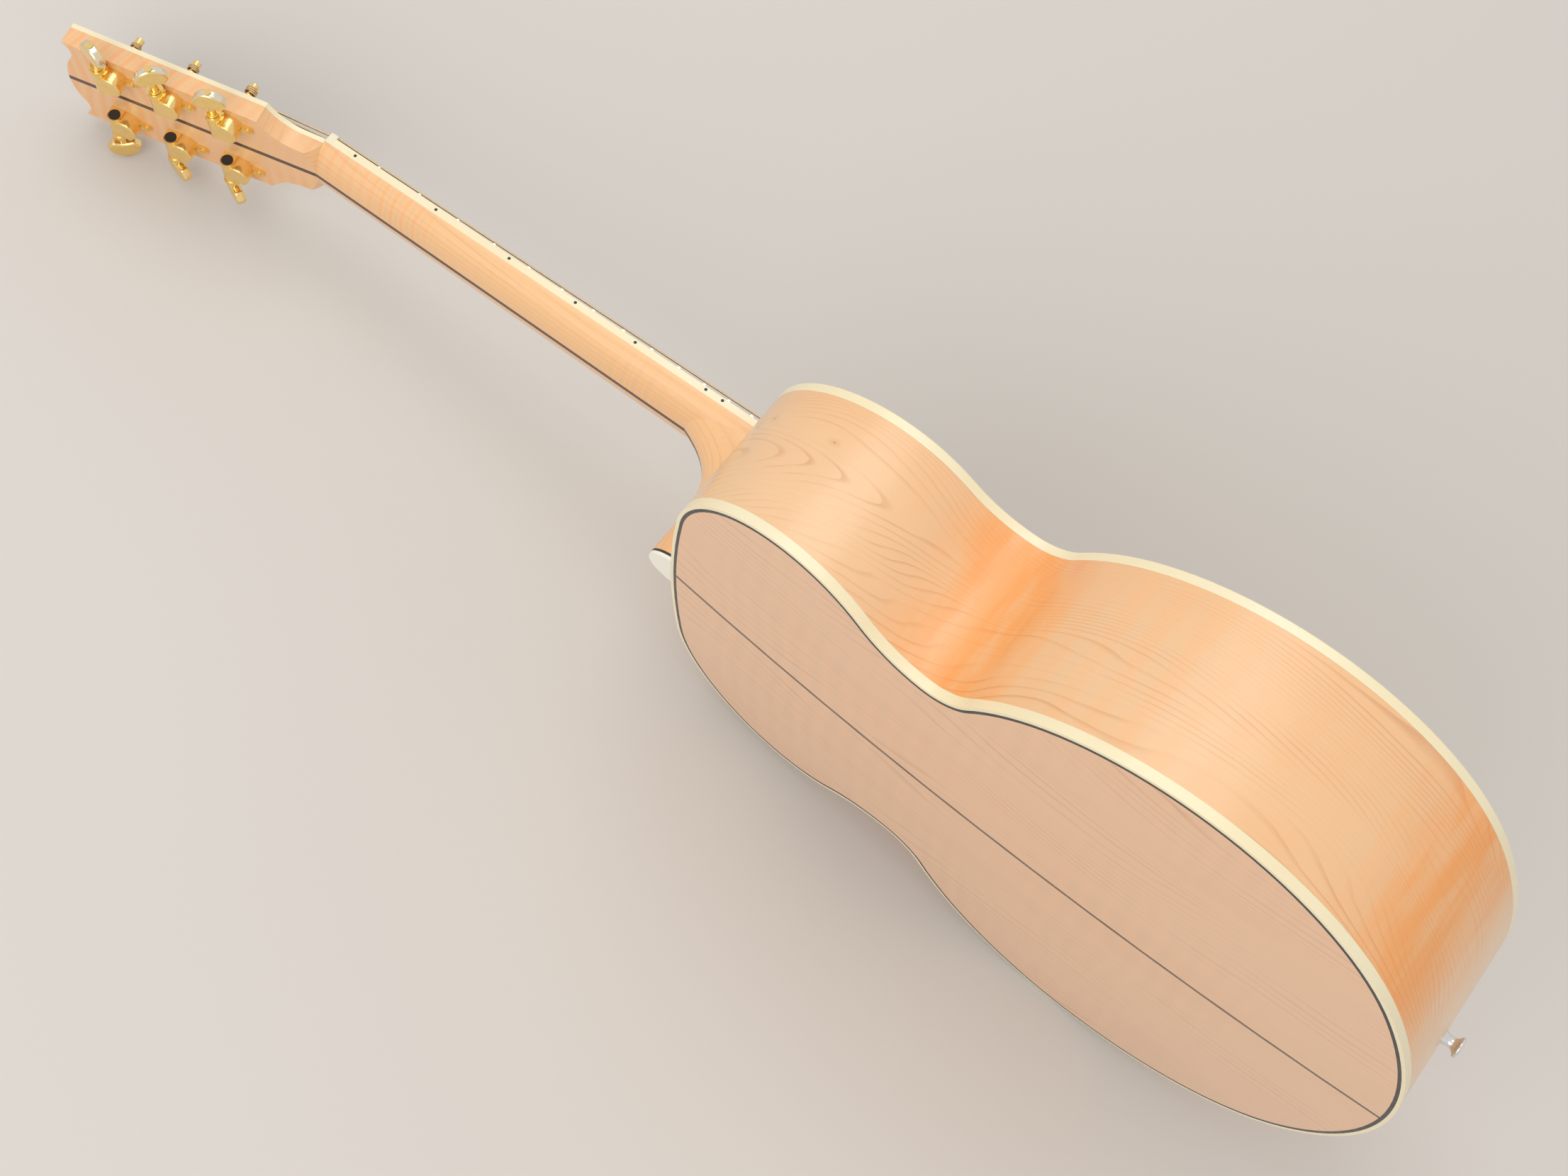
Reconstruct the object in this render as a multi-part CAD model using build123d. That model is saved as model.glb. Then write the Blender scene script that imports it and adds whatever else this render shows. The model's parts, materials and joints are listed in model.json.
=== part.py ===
"""A six-string steel-string jumbo guitar, resting on its treble rim and its lowest tuner button.

Every function builds in the guitar's own axes: x runs from the tail to the head, y towards the bass
side and z out of the soundboard, whose outer face is z = 0.  main() turns the finished pieces into
the resting pose: Z up from the floor, X towards the head and Y towards the side the back faces.
Tuner and headstock pieces are built in the headstock's axes: u (x) from the nut to the tip, v (y)
towards the bass side and w (z) out of the front face.  All sizes are millimetres and degrees.
"""
from build123d import *
import os
from math import asin, atan2, cos, degrees, hypot, pi, radians, sin, sqrt

# Body outline
BODY_LENGTH = 539.0
LOWER_BOUT = 432.0
WAIST = 254.0
UPPER_BOUT = 316.0
LOWER_STATION, WAIST_STATION, UPPER_STATION = 0.338, 0.650, 0.829  # shares of the length from the tail
LOWER_ROUND, UPPER_ROUND = 0.928, 0.957  # bout radius over the distance from its centre to the body's end

# Body depth and back arch
TAIL_DEPTH = 127.0
NECK_DEPTH = 101.0
BACK_R = 3600.0

# Plates, ribs and edges
TOP_T = 3.0
BACK_T = 3.0
RIB_T = 2.4
BINDING_T = 2.4
BINDING_H = 6.5
PURFLING_W = 2.4
PURFLING_DEPTH = 1.2
BACK_STRIP_W = 3.0
LINING_W = 6.0
LINING_H = 14.0

# Blocks and braces
NECK_BLOCK_L, NECK_BLOCK_W = 58.0, 76.0
TAIL_BLOCK_L, TAIL_BLOCK_W = 26.0, 84.0
TENON_L, TENON_W, TENON_H = 20.0, 20.0, 62.0
BRACE_W, BRACE_H = 7.5, 13.0
X_CROSSING = 0.594  # share of the body's length from the tail
X_ANGLE = 49.0
BRIDGE_PLATE_L, BRIDGE_PLATE_W, BRIDGE_PLATE_T = 38.0, 104.0, 2.5
BACK_BRACE_STATIONS = (0.17, 0.36, 0.56, 0.78)

# Soundhole
HOLE_R = 50.0
HOLE_TO_BOARD = 2.0
ROSETTE_IN, ROSETTE_W, ROSETTE_DEPTH = 4.5, 11.0, 1.2

# Scale, fretboard and frets
SCALE = 648.0
JOIN_FRET, FRET_COUNT = 14, 20
BOARD_T = 6.3
BOARD_R = 305.0
BOARD_NUT_W, BOARD_12_W = 43.0, 54.0
BOARD_BINDING_T = 1.6
BOARD_TAIL = 5.0
FRET_W, FRET_H = 2.4, 1.1
INLAY_FRETS = (1, 3, 5, 7, 9, 12, 15, 17)
INLAY_T = 1.2
DOT_R, DOT_DEPTH = 1.1, 1.0
DOUBLE_DOT_FRET, DOUBLE_DOT_GAP = 12, 13.2

# Neck and heel
NUT_T = 5.5
NECK_T_NUT, NECK_T_HEEL = 15.0, 17.5
NECK_STRIP_W = 4.0
HEEL_CAP_T, HEEL_PLY_T = 2.2, 1.8
HEEL_NOSE, HEEL_NOSE_W = 22.0, 32.0
HEEL_SWEEP, HEEL_POWER = 110.0, 6.0
HEEL_INSET = 1.2  # how far the heel's cheeks start inside the neck's edge
ROD_W, ROD_H = 6.0, 9.0

# Headstock
HEAD_ANGLE = 13.0
HEAD_T = 15.0
HEAD_LENGTH = 188.0
HEAD_SHOULDER = 40.0
HEAD_SHOULDER_W, HEAD_TIP_W = 76.0, 82.0
VENEER_T = 1.5
THROAT_L, THROAT_FLARE = 14.4, 0.8  # the straight run behind the nut
CORNER_BACK, CROWN_BACK, SCOOP_BACK = 4.0, 5.0, 9.0  # setbacks of the tip's points from its end
CROWN_SHARE, SCOOP_SHARE = 0.52, 0.78  # of half the tip's width
HEAD_BINDING_T, HEAD_BINDING_H = 1.5, 3.5
CARVE_L, CARVE_SWELL = 36.0, 2.4
POCKET_AT, POCKET_L = 0.36, 0.44  # shares of the cover's length
COVER_L, COVER_W, COVER_T = 34.0, 24.0, 2.0

# Bridge, saddle and strings
BRIDGE_L, BRIDGE_W, BRIDGE_T = 36.0, 165.0, 8.5
BRIDGE_FRONT, BRIDGE_WING, BRIDGE_BELLY, BRIDGE_BEVEL = 0.3, 0.62, 0.55, 0.25  # shares of its sizes
SADDLE_L, SADDLE_W, SADDLE_T = 76.0, 3.0, 3.2
SADDLE_SLOT = 5.0
SADDLE_SLANT = 2.4
SADDLE_NOTCH_GAP = 0.1  # between a string and its notch
COMPENSATION = 3.0
PIN_SETBACK = 14.0
PIN_R, PIN_HEAD_R, PIN_LENGTH = 2.5, 3.8, 24.0
STRING_R = {6: 0.67, 5: 0.53, 4: 0.41, 3: 0.30, 2: 0.20, 1: 0.15}
STRING_SPREAD_NUT, STRING_SPREAD_SADDLE = 7.2, 10.7
NUT_ACTION = 0.4
NUT_CROWN, NUT_FLAT, NUT_SLOT_FIT = 0.9, 0.45, 0.03

# Tuners
FIRST_POST = 60.0
POST_SPACING = 43.0
POST_V = 25.0
POST_R, POST_TOP = 3.0, 17.0
FIT = 0.05  # radial running clearance of shafts
GAP = 0.3  # clearance between faces that move past each other
BUSHING_R, BUSHING_NUT = 5.0, 11.0
BUSHING_NUT_T = 3.0
WASHER_GAIN, WASHER_T = 1.0, 0.8
WRAP_RISE, EYE_RISE = 4.0, 6.0  # the string's end and the post's eye over the bushing
EYE_R, GROOVE_L, GROOVE_DEPTH = 0.9, 5.0, 0.5
DRUM_R, DRUM_H, DRUM_ROUND = 8.5, 11.0, 1.2
BARREL_R, BARREL_OFFSET, BARREL_W = 5.0, 8.0, 6.0
BARREL_IN, BARREL_OUT = 9.0, 13.5  # reach of the barrel from the post, inwards and outwards
PLATE_T = 2.0
FLANGE_T, FLANGE_GAIN = 2.5, 0.6
EAR_OUT, EAR_R = 12.5, 3.6
PLUG_R, PLUG_T, PLUG_PROUD = 4.1, 1.8, 0.4
GEAR_TEETH = 14
GEAR_R, GEAR_T, GEAR_NOTCH = 5.7, 4.0, 1.4
WORM_R, JOURNAL_R = 1.9, 2.0
COLLAR_R, COLLAR_T = 4.2, 2.5
STEM_R, STEM_L = 2.6, 4.5
BUTTON_L, BUTTON_W, BUTTON_T = 16.0, 23.0, 7.0
BUTTON_ROUND = 2.2
BUTTON_SHOULDER, BUTTON_NECK, BUTTON_DISH, BUTTON_CORE = 0.34, 0.62, 0.09, 0.7  # shares of its sizes
BUTTON_SCREW_R, BUTTON_SCREW_T = 2.4, 0.8
SCREW_R, SCREW_HEAD_R, SCREW_HEAD_T, SCREW_L = 1.1, 2.2, 1.0, 9.0
SCREW_SLOT_W, SCREW_SLOT_DEPTH = 0.6, 0.4
# string: (place counted from the nut, side, rest turn of the button)
TUNERS = {6: (0, 1, 14), 5: (1, 1, 37), 4: (2, 1, -26), 1: (0, -1, -37), 2: (1, -1, -28), 3: (2, -1, 29)}

# Strap button
STRAP_BASE_R, STRAP_NECK_R, STRAP_RIM_R, STRAP_L = 5.5, 3.6, 7.0, 13.0
STRAP_SCREW_R, STRAP_SCREW_L = 1.9, 24.0
STRAP_SEAT, STRAP_HEAD_T = 3.0, 2.0
STRAP_CROSS_L, STRAP_CROSS_W, STRAP_CROSS_H = 5.0, 0.9, 1.6
STRAP_NECK_AT, STRAP_CUP_AT, STRAP_LIP_AT, STRAP_CUP = 0.45, 0.8, 0.9, 0.86  # shares of its length and rim

# Pickguard
GUARD_T = 1.0
GUARD_GAP = 1.0  # to the rosette
GUARD_BRIDGE_GAP = 3.0

# Derived places
LOWER_AT, WAIST_AT, UPPER_AT = (s * BODY_LENGTH for s in (LOWER_STATION, WAIST_STATION, UPPER_STATION))
LOWER_R = LOWER_ROUND * LOWER_AT
UPPER_R = UPPER_ROUND * (BODY_LENGTH - UPPER_AT)
DEEP = 2 * TAIL_DEPTH
FAR = 4 * BODY_LENGTH
NUT_X = BODY_LENGTH + SCALE * (1 - 2 ** (-JOIN_FRET / 12))
NUT_BACK = NUT_X + NUT_T
HEAD = Pos(NUT_BACK, 0, 0) * Rot(0, HEAD_ANGLE, 0)
LOW = (Align.CENTER, Align.CENTER, Align.MIN)
HIGH = (Align.CENTER, Align.CENTER, Align.MAX)


def fret_x(number):
    """Where a fret stands along the guitar."""
    return NUT_X - SCALE * (1 - 2 ** (-number / 12))


BOARD_END = fret_x(FRET_COUNT) - BOARD_TAIL
HOLE_X = BOARD_END - HOLE_TO_BOARD - HOLE_R
SADDLE_X = NUT_X - SCALE - COMPENSATION
PIN_X = SADDLE_X - PIN_SETBACK
SADDLE_TOP = BRIDGE_T + SADDLE_T
STRING_NUT_Z = BOARD_T + FRET_H + NUT_ACTION
BARREL_Z = -HEAD_T - BARREL_W
BUTTON_V = POST_V + BARREL_OUT + GAP + COLLAR_T + STEM_L
BUTTON_END = BUTTON_V + BUTTON_L + BUTTON_SCREW_T


# ---------------------------------------------------------------- outline and volumes of the body
def unit(vector):
    """A plane vector, given as a complex number, at length one."""
    return vector / abs(vector)


def end_radius(reach, centre_y, radius):
    """Radius of the end arc that crosses the axis square and is tangent to a bout arc."""
    return (reach ** 2 + centre_y ** 2 - radius ** 2) / (2 * (reach - radius))


def waist_radius(run, centre_y, radius):
    """Radius of the hollow arc that is level at the waist and tangent to a bout arc."""
    drop = WAIST / 2 - centre_y
    return (run ** 2 + drop ** 2 - radius ** 2) / (2 * (radius - drop))


def outline_arcs():
    """The bass half of the outline, tail to neck, as (centre, radius, side, start and end normals).

    side is 1 for an arc that bulges and -1 for one that is hollow; normals point out of the body.
    """
    lower = complex(LOWER_AT, LOWER_BOUT / 2 - LOWER_R)
    upper = complex(UPPER_AT, UPPER_BOUT / 2 - UPPER_R)
    tail_r = end_radius(LOWER_AT, lower.imag, LOWER_R)
    shoulder_r = end_radius(BODY_LENGTH - UPPER_AT, upper.imag, UPPER_R)
    waist_low_r = waist_radius(WAIST_AT - LOWER_AT, lower.imag, LOWER_R)
    waist_high_r = waist_radius(UPPER_AT - WAIST_AT, upper.imag, UPPER_R)
    tail = complex(tail_r, 0)
    shoulder = complex(BODY_LENGTH - shoulder_r, 0)
    waist_low = complex(WAIST_AT, WAIST / 2 + waist_low_r)
    waist_high = complex(WAIST_AT, WAIST / 2 + waist_high_r)
    tail_normal = unit(lower - tail)
    low_normal = unit(waist_low - lower)
    high_normal = unit(waist_high - upper)
    neck_normal = unit(upper - shoulder)
    return [(tail, tail_r, 1, -1, tail_normal), (lower, LOWER_R, 1, tail_normal, low_normal),
            (waist_low, waist_low_r, -1, low_normal, 1j), (waist_high, waist_high_r, -1, 1j, high_normal),
            (upper, UPPER_R, 1, high_normal, neck_normal), (shoulder, shoulder_r, 1, neck_normal, 1)]


def outline_face(inset):
    """The body's outline with its edge moved inwards."""
    edges = []
    for centre, radius, side, start, end in outline_arcs():
        reach = side * radius - inset
        spots = [centre + reach * normal for normal in (start, unit(start + end), end)]
        edges.append(ThreePointArc(*[(p.real, p.imag) for p in spots]))
        edges.append(ThreePointArc(*[(p.real, -p.imag) for p in spots]))
    return make_face(edges)


def slab(inset, low, high):
    """The inset outline as a solid between two heights."""
    return Pos(0, 0, low) * extrude(outline_face(inset), high - low, dir=(0, 0, 1))


def rim(outer, inner, low, high):
    """A band that follows the outline between two insets and two heights."""
    return slab(outer, low, high) - slab(inner, low, high)


def dome(inset):
    """The ball whose underside is the arched back, with its surface moved inwards."""
    fall = TAIL_DEPTH - NECK_DEPTH
    chord = hypot(BODY_LENGTH, fall)
    rise = sqrt(BACK_R ** 2 - chord ** 2 / 4)
    x = BODY_LENGTH / 2 - rise * fall / chord
    z = -(TAIL_DEPTH + NECK_DEPTH) / 2 + rise * BODY_LENGTH / chord
    return Pos(x, 0, z) * Rot(90, 0, 0) * Sphere(BACK_R - inset)


def inside(side):
    """The space under the soundboard and over the back, held off the outline by side."""
    return slab(side, -DEEP, -TOP_T) & dome(BACK_T)


def half_space(side):
    """Everything on one side of the guitar's middle plane."""
    return Pos(0, side * FAR / 2, 0) * Box(2 * FAR, FAR, 2 * FAR)


# ---------------------------------------------------------------- soundboard, back, ribs and edges
def top_binding():
    return rim(0, BINDING_T, -BINDING_H, 0)


def back_binding():
    return (rim(0, BINDING_T, -DEEP, -TOP_T) & dome(0)) - dome(BINDING_H)


def purfling_lines(band_low, band_high):
    """Black, white and black lines side by side in the purfling's width."""
    third = PURFLING_W / 3
    return [rim(BINDING_T + i * third, BINDING_T + (i + 1) * third, band_low, band_high) for i in range(3)]


def top_purfling():
    return Compound(children=purfling_lines(-PURFLING_DEPTH, 0))


def back_purfling():
    return Compound(children=[(line & dome(0)) - dome(PURFLING_DEPTH)
                              for line in purfling_lines(-DEEP, -TOP_T)])


def rosette_ring(inner, outer, depth):
    ring = Cylinder(outer, depth, align=HIGH) - Cylinder(inner, depth, align=HIGH)
    return Pos(HOLE_X, 0, 0) * ring


def rosette():
    """Five inlaid rings around the soundhole."""
    start = HOLE_R + ROSETTE_IN
    edges = [start + ROSETTE_W * share for share in (0, 0.1, 0.2, 0.8, 0.9, 1)]
    return Compound(children=[rosette_ring(a, b, ROSETTE_DEPTH) for a, b in zip(edges, edges[1:])])


def string_y(string, spread):
    """A string's distance from the middle plane; string 6 is the bass string."""
    return (string - 3.5) * spread


def pin_places():
    """Where the bridge pins stand."""
    return [(PIN_X, string_y(s, STRING_SPREAD_SADDLE)) for s in STRING_R]


def pin_holes():
    """The bridge pins' holes, through bridge, soundboard and plate."""
    return [Pos(x, y, 0) * Cylinder(PIN_R, 4 * PIN_LENGTH) for x, y in pin_places()]


def soundboard():
    board = slab(BINDING_T, -TOP_T, 0)
    board -= rim(BINDING_T, BINDING_T + PURFLING_W, -PURFLING_DEPTH, 0)
    board -= Pos(HOLE_X, 0, 0) * Cylinder(HOLE_R, 4 * TOP_T)
    board -= rosette_ring(HOLE_R + ROSETTE_IN, HOLE_R + ROSETTE_IN + ROSETTE_W, ROSETTE_DEPTH)
    return board - pin_holes()


def back_plate():
    """The whole back, inside its binding and purfling."""
    plate = (slab(BINDING_T, -DEEP, -TOP_T) & dome(0)) - dome(BACK_T)
    lines = (rim(BINDING_T, BINDING_T + PURFLING_W, -DEEP, -TOP_T) & dome(0)) - dome(PURFLING_DEPTH)
    return plate - lines


def middle(width):
    """A slab around the guitar's middle plane."""
    return Box(2 * FAR, width, 2 * FAR)


def back_half(side):
    return (back_plate() & half_space(side)) - middle(BACK_STRIP_W)


def back_centre_strip():
    return back_plate() & middle(BACK_STRIP_W)


def rib(side):
    """One bent side, from the soundboard to the back, with the bindings' rebates cut away."""
    wall = (rim(0, RIB_T, -DEEP, -TOP_T) & dome(BACK_T)) & half_space(side)
    return wall - top_binding() - back_binding() - tenon() - strap_screw_hole()


def linings():
    """The strips that glue the ribs to the soundboard and to the back."""
    band = rim(RIB_T, RIB_T + LINING_W, -DEEP, -TOP_T) & dome(BACK_T)
    top = band & Pos(0, 0, -TOP_T - LINING_H) * Box(2 * FAR, FAR, LINING_H, align=LOW)
    back = band - dome(BACK_T + LINING_H)
    blocks = [neck_block_box(), tail_block_box()]
    return Compound(children=[(strip - blocks - top_binding() - back_binding()) for strip in (top, back)])


# ---------------------------------------------------------------- blocks and braces
def neck_block_box():
    x = BODY_LENGTH - NECK_BLOCK_L / 2
    return Pos(x, 0, 0) * Box(NECK_BLOCK_L, NECK_BLOCK_W, 2 * DEEP)


def tail_block_box():
    return Pos(TAIL_BLOCK_L / 2, 0, 0) * Box(TAIL_BLOCK_L, TAIL_BLOCK_W, 2 * DEEP)


def tenon():
    """The tongue of the neck that sits in the neck block."""
    top = Pos(BODY_LENGTH - TENON_L, 0, -BINDING_H - 1)
    return top * Box(TENON_L + NUT_T, TENON_W, TENON_H, align=(Align.MIN, Align.CENTER, Align.MAX))


def neck_block():
    return (inside(RIB_T) & neck_block_box()) - tenon()


def tail_block():
    return (inside(RIB_T) & tail_block_box()) - strap_screw_hole()


def bar(x, y, turn, length, width, height):
    """A straight brace under the soundboard."""
    return Pos(x, y, -TOP_T) * Rot(0, 0, turn) * Box(length, width, height, align=HIGH)


def top_braces():
    """The X brace, the bar over the soundhole, tone bars, finger braces and the bridge plate."""
    cross = X_CROSSING * BODY_LENGTH
    room = inside(RIB_T + LINING_W)
    x_brace = bar(cross, 0, X_ANGLE, FAR, BRACE_W, BRACE_H) + bar(cross, 0, -X_ANGLE, FAR, BRACE_W, BRACE_H)
    plate_x = (SADDLE_X + PIN_X) / 2
    plate = bar(plate_x, 0, 0, BRIDGE_PLATE_L, BRIDGE_PLATE_W, BRIDGE_PLATE_T) - pin_holes()
    blocks = [neck_block_box(), tail_block_box()]
    over_hole = bar(HOLE_X + HOLE_R + BRACE_W + 2, 0, 90, FAR, BRACE_W * 1.3, BRACE_H)
    behind = plate_x - BRIDGE_PLATE_L / 2 - BRACE_W
    tone_bars = [bar(behind - 25 - 60 * i, 0, 66, WAIST * 0.42, BRACE_W * 0.8, BRACE_H * 0.7) for i in range(2)]
    fingers = [bar(HOLE_X - HOLE_R * 0.9, side * (WAIST * 0.365), side * -38, 44, BRACE_W * 0.7, BRACE_H * 0.6)
               for side in (1, -1)]
    bars = [piece & room for piece in [x_brace - blocks, over_hole - blocks, *tone_bars, *fingers]]
    return Compound(children=[*bars, plate])


def back_braces():
    """Ladder braces across the back."""
    room = inside(RIB_T + LINING_W) - dome(BACK_T + BRACE_H)
    rungs = []
    for share in BACK_BRACE_STATIONS:
        rung = Pos(share * BODY_LENGTH, 0, 0) * Box(BRACE_W, FAR, 2 * DEEP)
        rungs.append(room & rung)
    return Compound(children=rungs)


# ---------------------------------------------------------------- neck, heel and headstock
def half_width(x):
    """Half the fretboard's width at a place along the guitar."""
    slope = (BOARD_12_W - BOARD_NUT_W) / 2 / (NUT_X - fret_x(12))
    return BOARD_NUT_W / 2 + (NUT_X - x) * slope


def taper_face(from_x, to_x, inset=0.0):
    """The fretboard's plan between two places, with its long edges moved inwards."""
    a, b = half_width(from_x) - inset, half_width(to_x) - inset
    return make_face(Polyline((from_x, a), (to_x, b), (to_x, -b), (from_x, -a), close=True))


def half_round(x, width, depth):
    """A half-ellipse section across the neck, flat side up at z = 0."""
    section = Ellipse(width / 2, depth) & Pos(0, -depth) * Rectangle(2 * width, 2 * depth)
    return Plane(origin=(x, 0, 0), x_dir=(0, 1, 0), z_dir=(1, 0, 0)) * section


def neck_shaft():
    start = BODY_LENGTH - RIB_T
    sections = [half_round(start, 2 * half_width(start), NECK_T_HEEL),
                half_round(NUT_X, 2 * half_width(NUT_X), NECK_T_NUT)]
    tongue = extrude(half_round(NUT_X, 2 * half_width(NUT_X), NECK_T_NUT), NUT_T, dir=(1, 0, 0))
    return loft(sections) + tongue


def heel_section(z):
    """The heel's U-shaped outline at one height, square to the body behind."""
    share = 1 + z / NECK_DEPTH
    reach = HEEL_NOSE + HEEL_SWEEP * share ** HEEL_POWER
    top_wide = half_width(BODY_LENGTH) - HEEL_INSET
    wide = HEEL_NOSE_W / 2 + (top_wide - HEEL_NOSE_W / 2) * share
    base = BODY_LENGTH - 2 * RIB_T
    spots = [(base + reach * cos(radians(a)), wide * sin(radians(a))) for a in range(-90, 91, 15)]
    nose = Spline(*spots, tangents=[(1, 0), (-1, 0)])
    return Pos(0, 0, z) * make_face([nose, Line(spots[-1], spots[0])])


def heel():
    """The heel, from the neck's underside down to its cap at the level of the back."""
    steps = 10
    levels = [-NECK_DEPTH * (1 - (i / steps) ** 0.6) for i in range(steps + 1)]
    return loft([heel_section(z) for z in levels])


def heel_slice(low, high):
    """A flat slice of the heel between two distances from its outer end."""
    slice_box = Pos(BODY_LENGTH, 0, low - NECK_DEPTH) * Box(FAR, FAR, high - low, align=LOW)
    return (heel() & slice_box) - slab(0, -DEEP, 0)


def heel_cap():
    return heel_slice(0, HEEL_CAP_T)


def heel_ply():
    """Three thin layers between the heel and its cap."""
    step = HEEL_PLY_T / 3
    return Compound(children=[heel_slice(HEEL_CAP_T + i * step, HEEL_CAP_T + (i + 1) * step) for i in range(3)])


def head_side(side):
    """One long side of the headstock's plan, from the nut to the crown of the tip."""
    nut, shoulder, tip = (side * w / 2 for w in (BOARD_NUT_W, HEAD_SHOULDER_W, HEAD_TIP_W))
    throat = Line((0, nut), (THROAT_L, nut + side * THROAT_FLARE))
    flare = TangentArc(throat @ 1, (HEAD_SHOULDER, shoulder), tangent=throat % 1)
    flank = Line((HEAD_SHOULDER, shoulder), (HEAD_LENGTH - CORNER_BACK, tip))
    scoop = ThreePointArc(flank @ 1, (HEAD_LENGTH - SCOOP_BACK, tip * SCOOP_SHARE),
                          (HEAD_LENGTH - CROWN_BACK, tip * CROWN_SHARE))
    return [throat, flare, flank, scoop]


def head_outline():
    """The headstock's plan: waisted at the nut, flared, with two scoops beside a round crown."""
    nut, edge = BOARD_NUT_W / 2, HEAD_TIP_W / 2 * CROWN_SHARE
    crown_u = HEAD_LENGTH - CROWN_BACK
    crown_arc = ThreePointArc((crown_u, edge), (HEAD_LENGTH, 0), (crown_u, -edge))
    return make_face([*head_side(1), *head_side(-1), crown_arc, Line((0, -nut), (0, nut))])


def head_inner():
    """The headstock's plan inside its binding; it stays full at the nut."""
    inner = offset(head_outline(), -HEAD_BINDING_T, kind=Kind.INTERSECTION)
    at_nut = Pos(HEAD_BINDING_T, 0) * Rectangle(2 * HEAD_BINDING_T, BOARD_NUT_W - 2 * HEAD_BINDING_T)
    return inner + at_nut


def head_slab(face, low, high):
    """A plan of the headstock as a solid between two heights over its front wood face."""
    return HEAD * Pos(0, 0, low) * extrude(face, high - low, dir=(0, 0, 1))


def head_binding():
    low = VENEER_T - HEAD_BINDING_H
    return head_slab(head_outline(), low, VENEER_T) - head_slab(head_inner(), low, VENEER_T)


def head_veneer():
    veneer = head_slab(head_inner(), 0, VENEER_T)
    return veneer - [bushing_bore(s) for s in TUNERS] - rod_pocket()


def carved_back():
    """What is carved off the headstock's back, where the round neck runs into it."""
    near = half_round(0, BOARD_NUT_W, HEAD_T)
    far = half_round(CARVE_L, 2 * HEAD_TIP_W, CARVE_SWELL * HEAD_T)
    block = Box(CARVE_L, 4 * HEAD_TIP_W, 4 * HEAD_T, align=(Align.MIN, Align.CENTER, Align.MAX))
    return HEAD * (block - loft([near, far], ruled=True))


def neck_wood():
    """The whole neck, heel and headstock before it is parted into its three laminations."""
    body = slab(0, -DEEP, TOP_T)
    under = heel() & Pos(BODY_LENGTH, 0, HEEL_CAP_T + HEEL_PLY_T - NECK_DEPTH) * Box(FAR, FAR, DEEP, align=LOW)
    wood = (neck_shaft() + under) - body
    wood += head_slab(head_outline(), -HEAD_T, 0) - carved_back()
    wood += tenon()
    cuts = [bushing_bore(s) for s in TUNERS] + [ear_screw(s, 0) for s in TUNERS]
    return wood - cuts - head_binding() - truss_rod() - rod_pocket()


def rod_pocket():
    """The pocket behind the nut that opens on the truss rod's adjusting end."""
    return HEAD * Pos(COVER_L * POCKET_AT, 0, 0) * Box(COVER_L * POCKET_L, ROD_W + 2, ROD_H)


def truss_rod():
    """The adjusting rod in its channel under the fretboard."""
    start = BODY_LENGTH + NUT_T
    bar_length = NUT_X - start
    return Pos(start, 0, 0) * Box(bar_length, ROD_W, ROD_H, align=(Align.MIN, Align.CENTER, Align.MAX))


def truss_cover():
    """A plain rounded cover over the truss rod's pocket."""
    near, far = COVER_W / 2, COVER_W / 5
    plan = make_face(Polyline((0.8, near), (COVER_L, far), (COVER_L, -far), (0.8, -near), close=True))
    plan = fillet(plan.vertices(), far * 0.8)
    return head_slab(plan, VENEER_T, VENEER_T + COVER_T)


# ---------------------------------------------------------------- fretboard, nut and frets
def crown(radius_gain):
    """The long cylinder whose top is the fretboard's crowned face."""
    return Pos(0, 0, BOARD_T - BOARD_R) * Rot(0, 90, 0) * Cylinder(BOARD_R + radius_gain, 2 * FAR)


def crown_z(y):
    """How far the crown has fallen at a distance from the middle."""
    return BOARD_R - sqrt(BOARD_R ** 2 - y ** 2)


def inlay_plan(fret):
    """A rectangular marker between two frets."""
    low, high = fret_x(fret), fret_x(fret - 1)
    return Pos((low + high) / 2, 0, BOARD_T - INLAY_T - 1) * Box(
        0.52 * (high - low), 1.15 * half_width(low), DEEP, align=LOW)


def fret_inlays():
    shell = crown(0) - crown(-INLAY_T)
    return Compound(children=[shell & inlay_plan(f) for f in INLAY_FRETS])


def fretboard():
    board = extrude(taper_face(BOARD_END, NUT_X, BOARD_BINDING_T), BOARD_T, dir=(0, 0, 1)) & crown(0)
    return board - list(fret_inlays().children)


def board_binding():
    """The cream edges of the fretboard, with the side dots' holes."""
    full = extrude(taper_face(BOARD_END, NUT_X), BOARD_T, dir=(0, 0, 1))
    inner = extrude(taper_face(BOARD_END - 1, NUT_X + 1, BOARD_BINDING_T), BOARD_T, dir=(0, 0, 1))
    return (full & crown(0)) - inner - dot_pegs()


def dot_pegs():
    """The position markers in the bass edge of the fretboard."""
    places = [fret_x(f) + (fret_x(f - 1) - fret_x(f)) / 2 for f in INLAY_FRETS if f != DOUBLE_DOT_FRET]
    twin = fret_x(DOUBLE_DOT_FRET) + (fret_x(DOUBLE_DOT_FRET - 1) - fret_x(DOUBLE_DOT_FRET)) / 2
    places += [twin - DOUBLE_DOT_GAP / 2, twin + DOUBLE_DOT_GAP / 2]
    return [Pos(x, half_width(x), BOARD_T / 2) * Rot(90, 0, 0) * Cylinder(DOT_R, 2 * DOT_DEPTH) for x in places]


def side_dots():
    full = extrude(taper_face(BOARD_END, NUT_X), BOARD_T, dir=(0, 0, 1))
    return Compound(children=[full & peg for peg in dot_pegs()])


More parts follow.
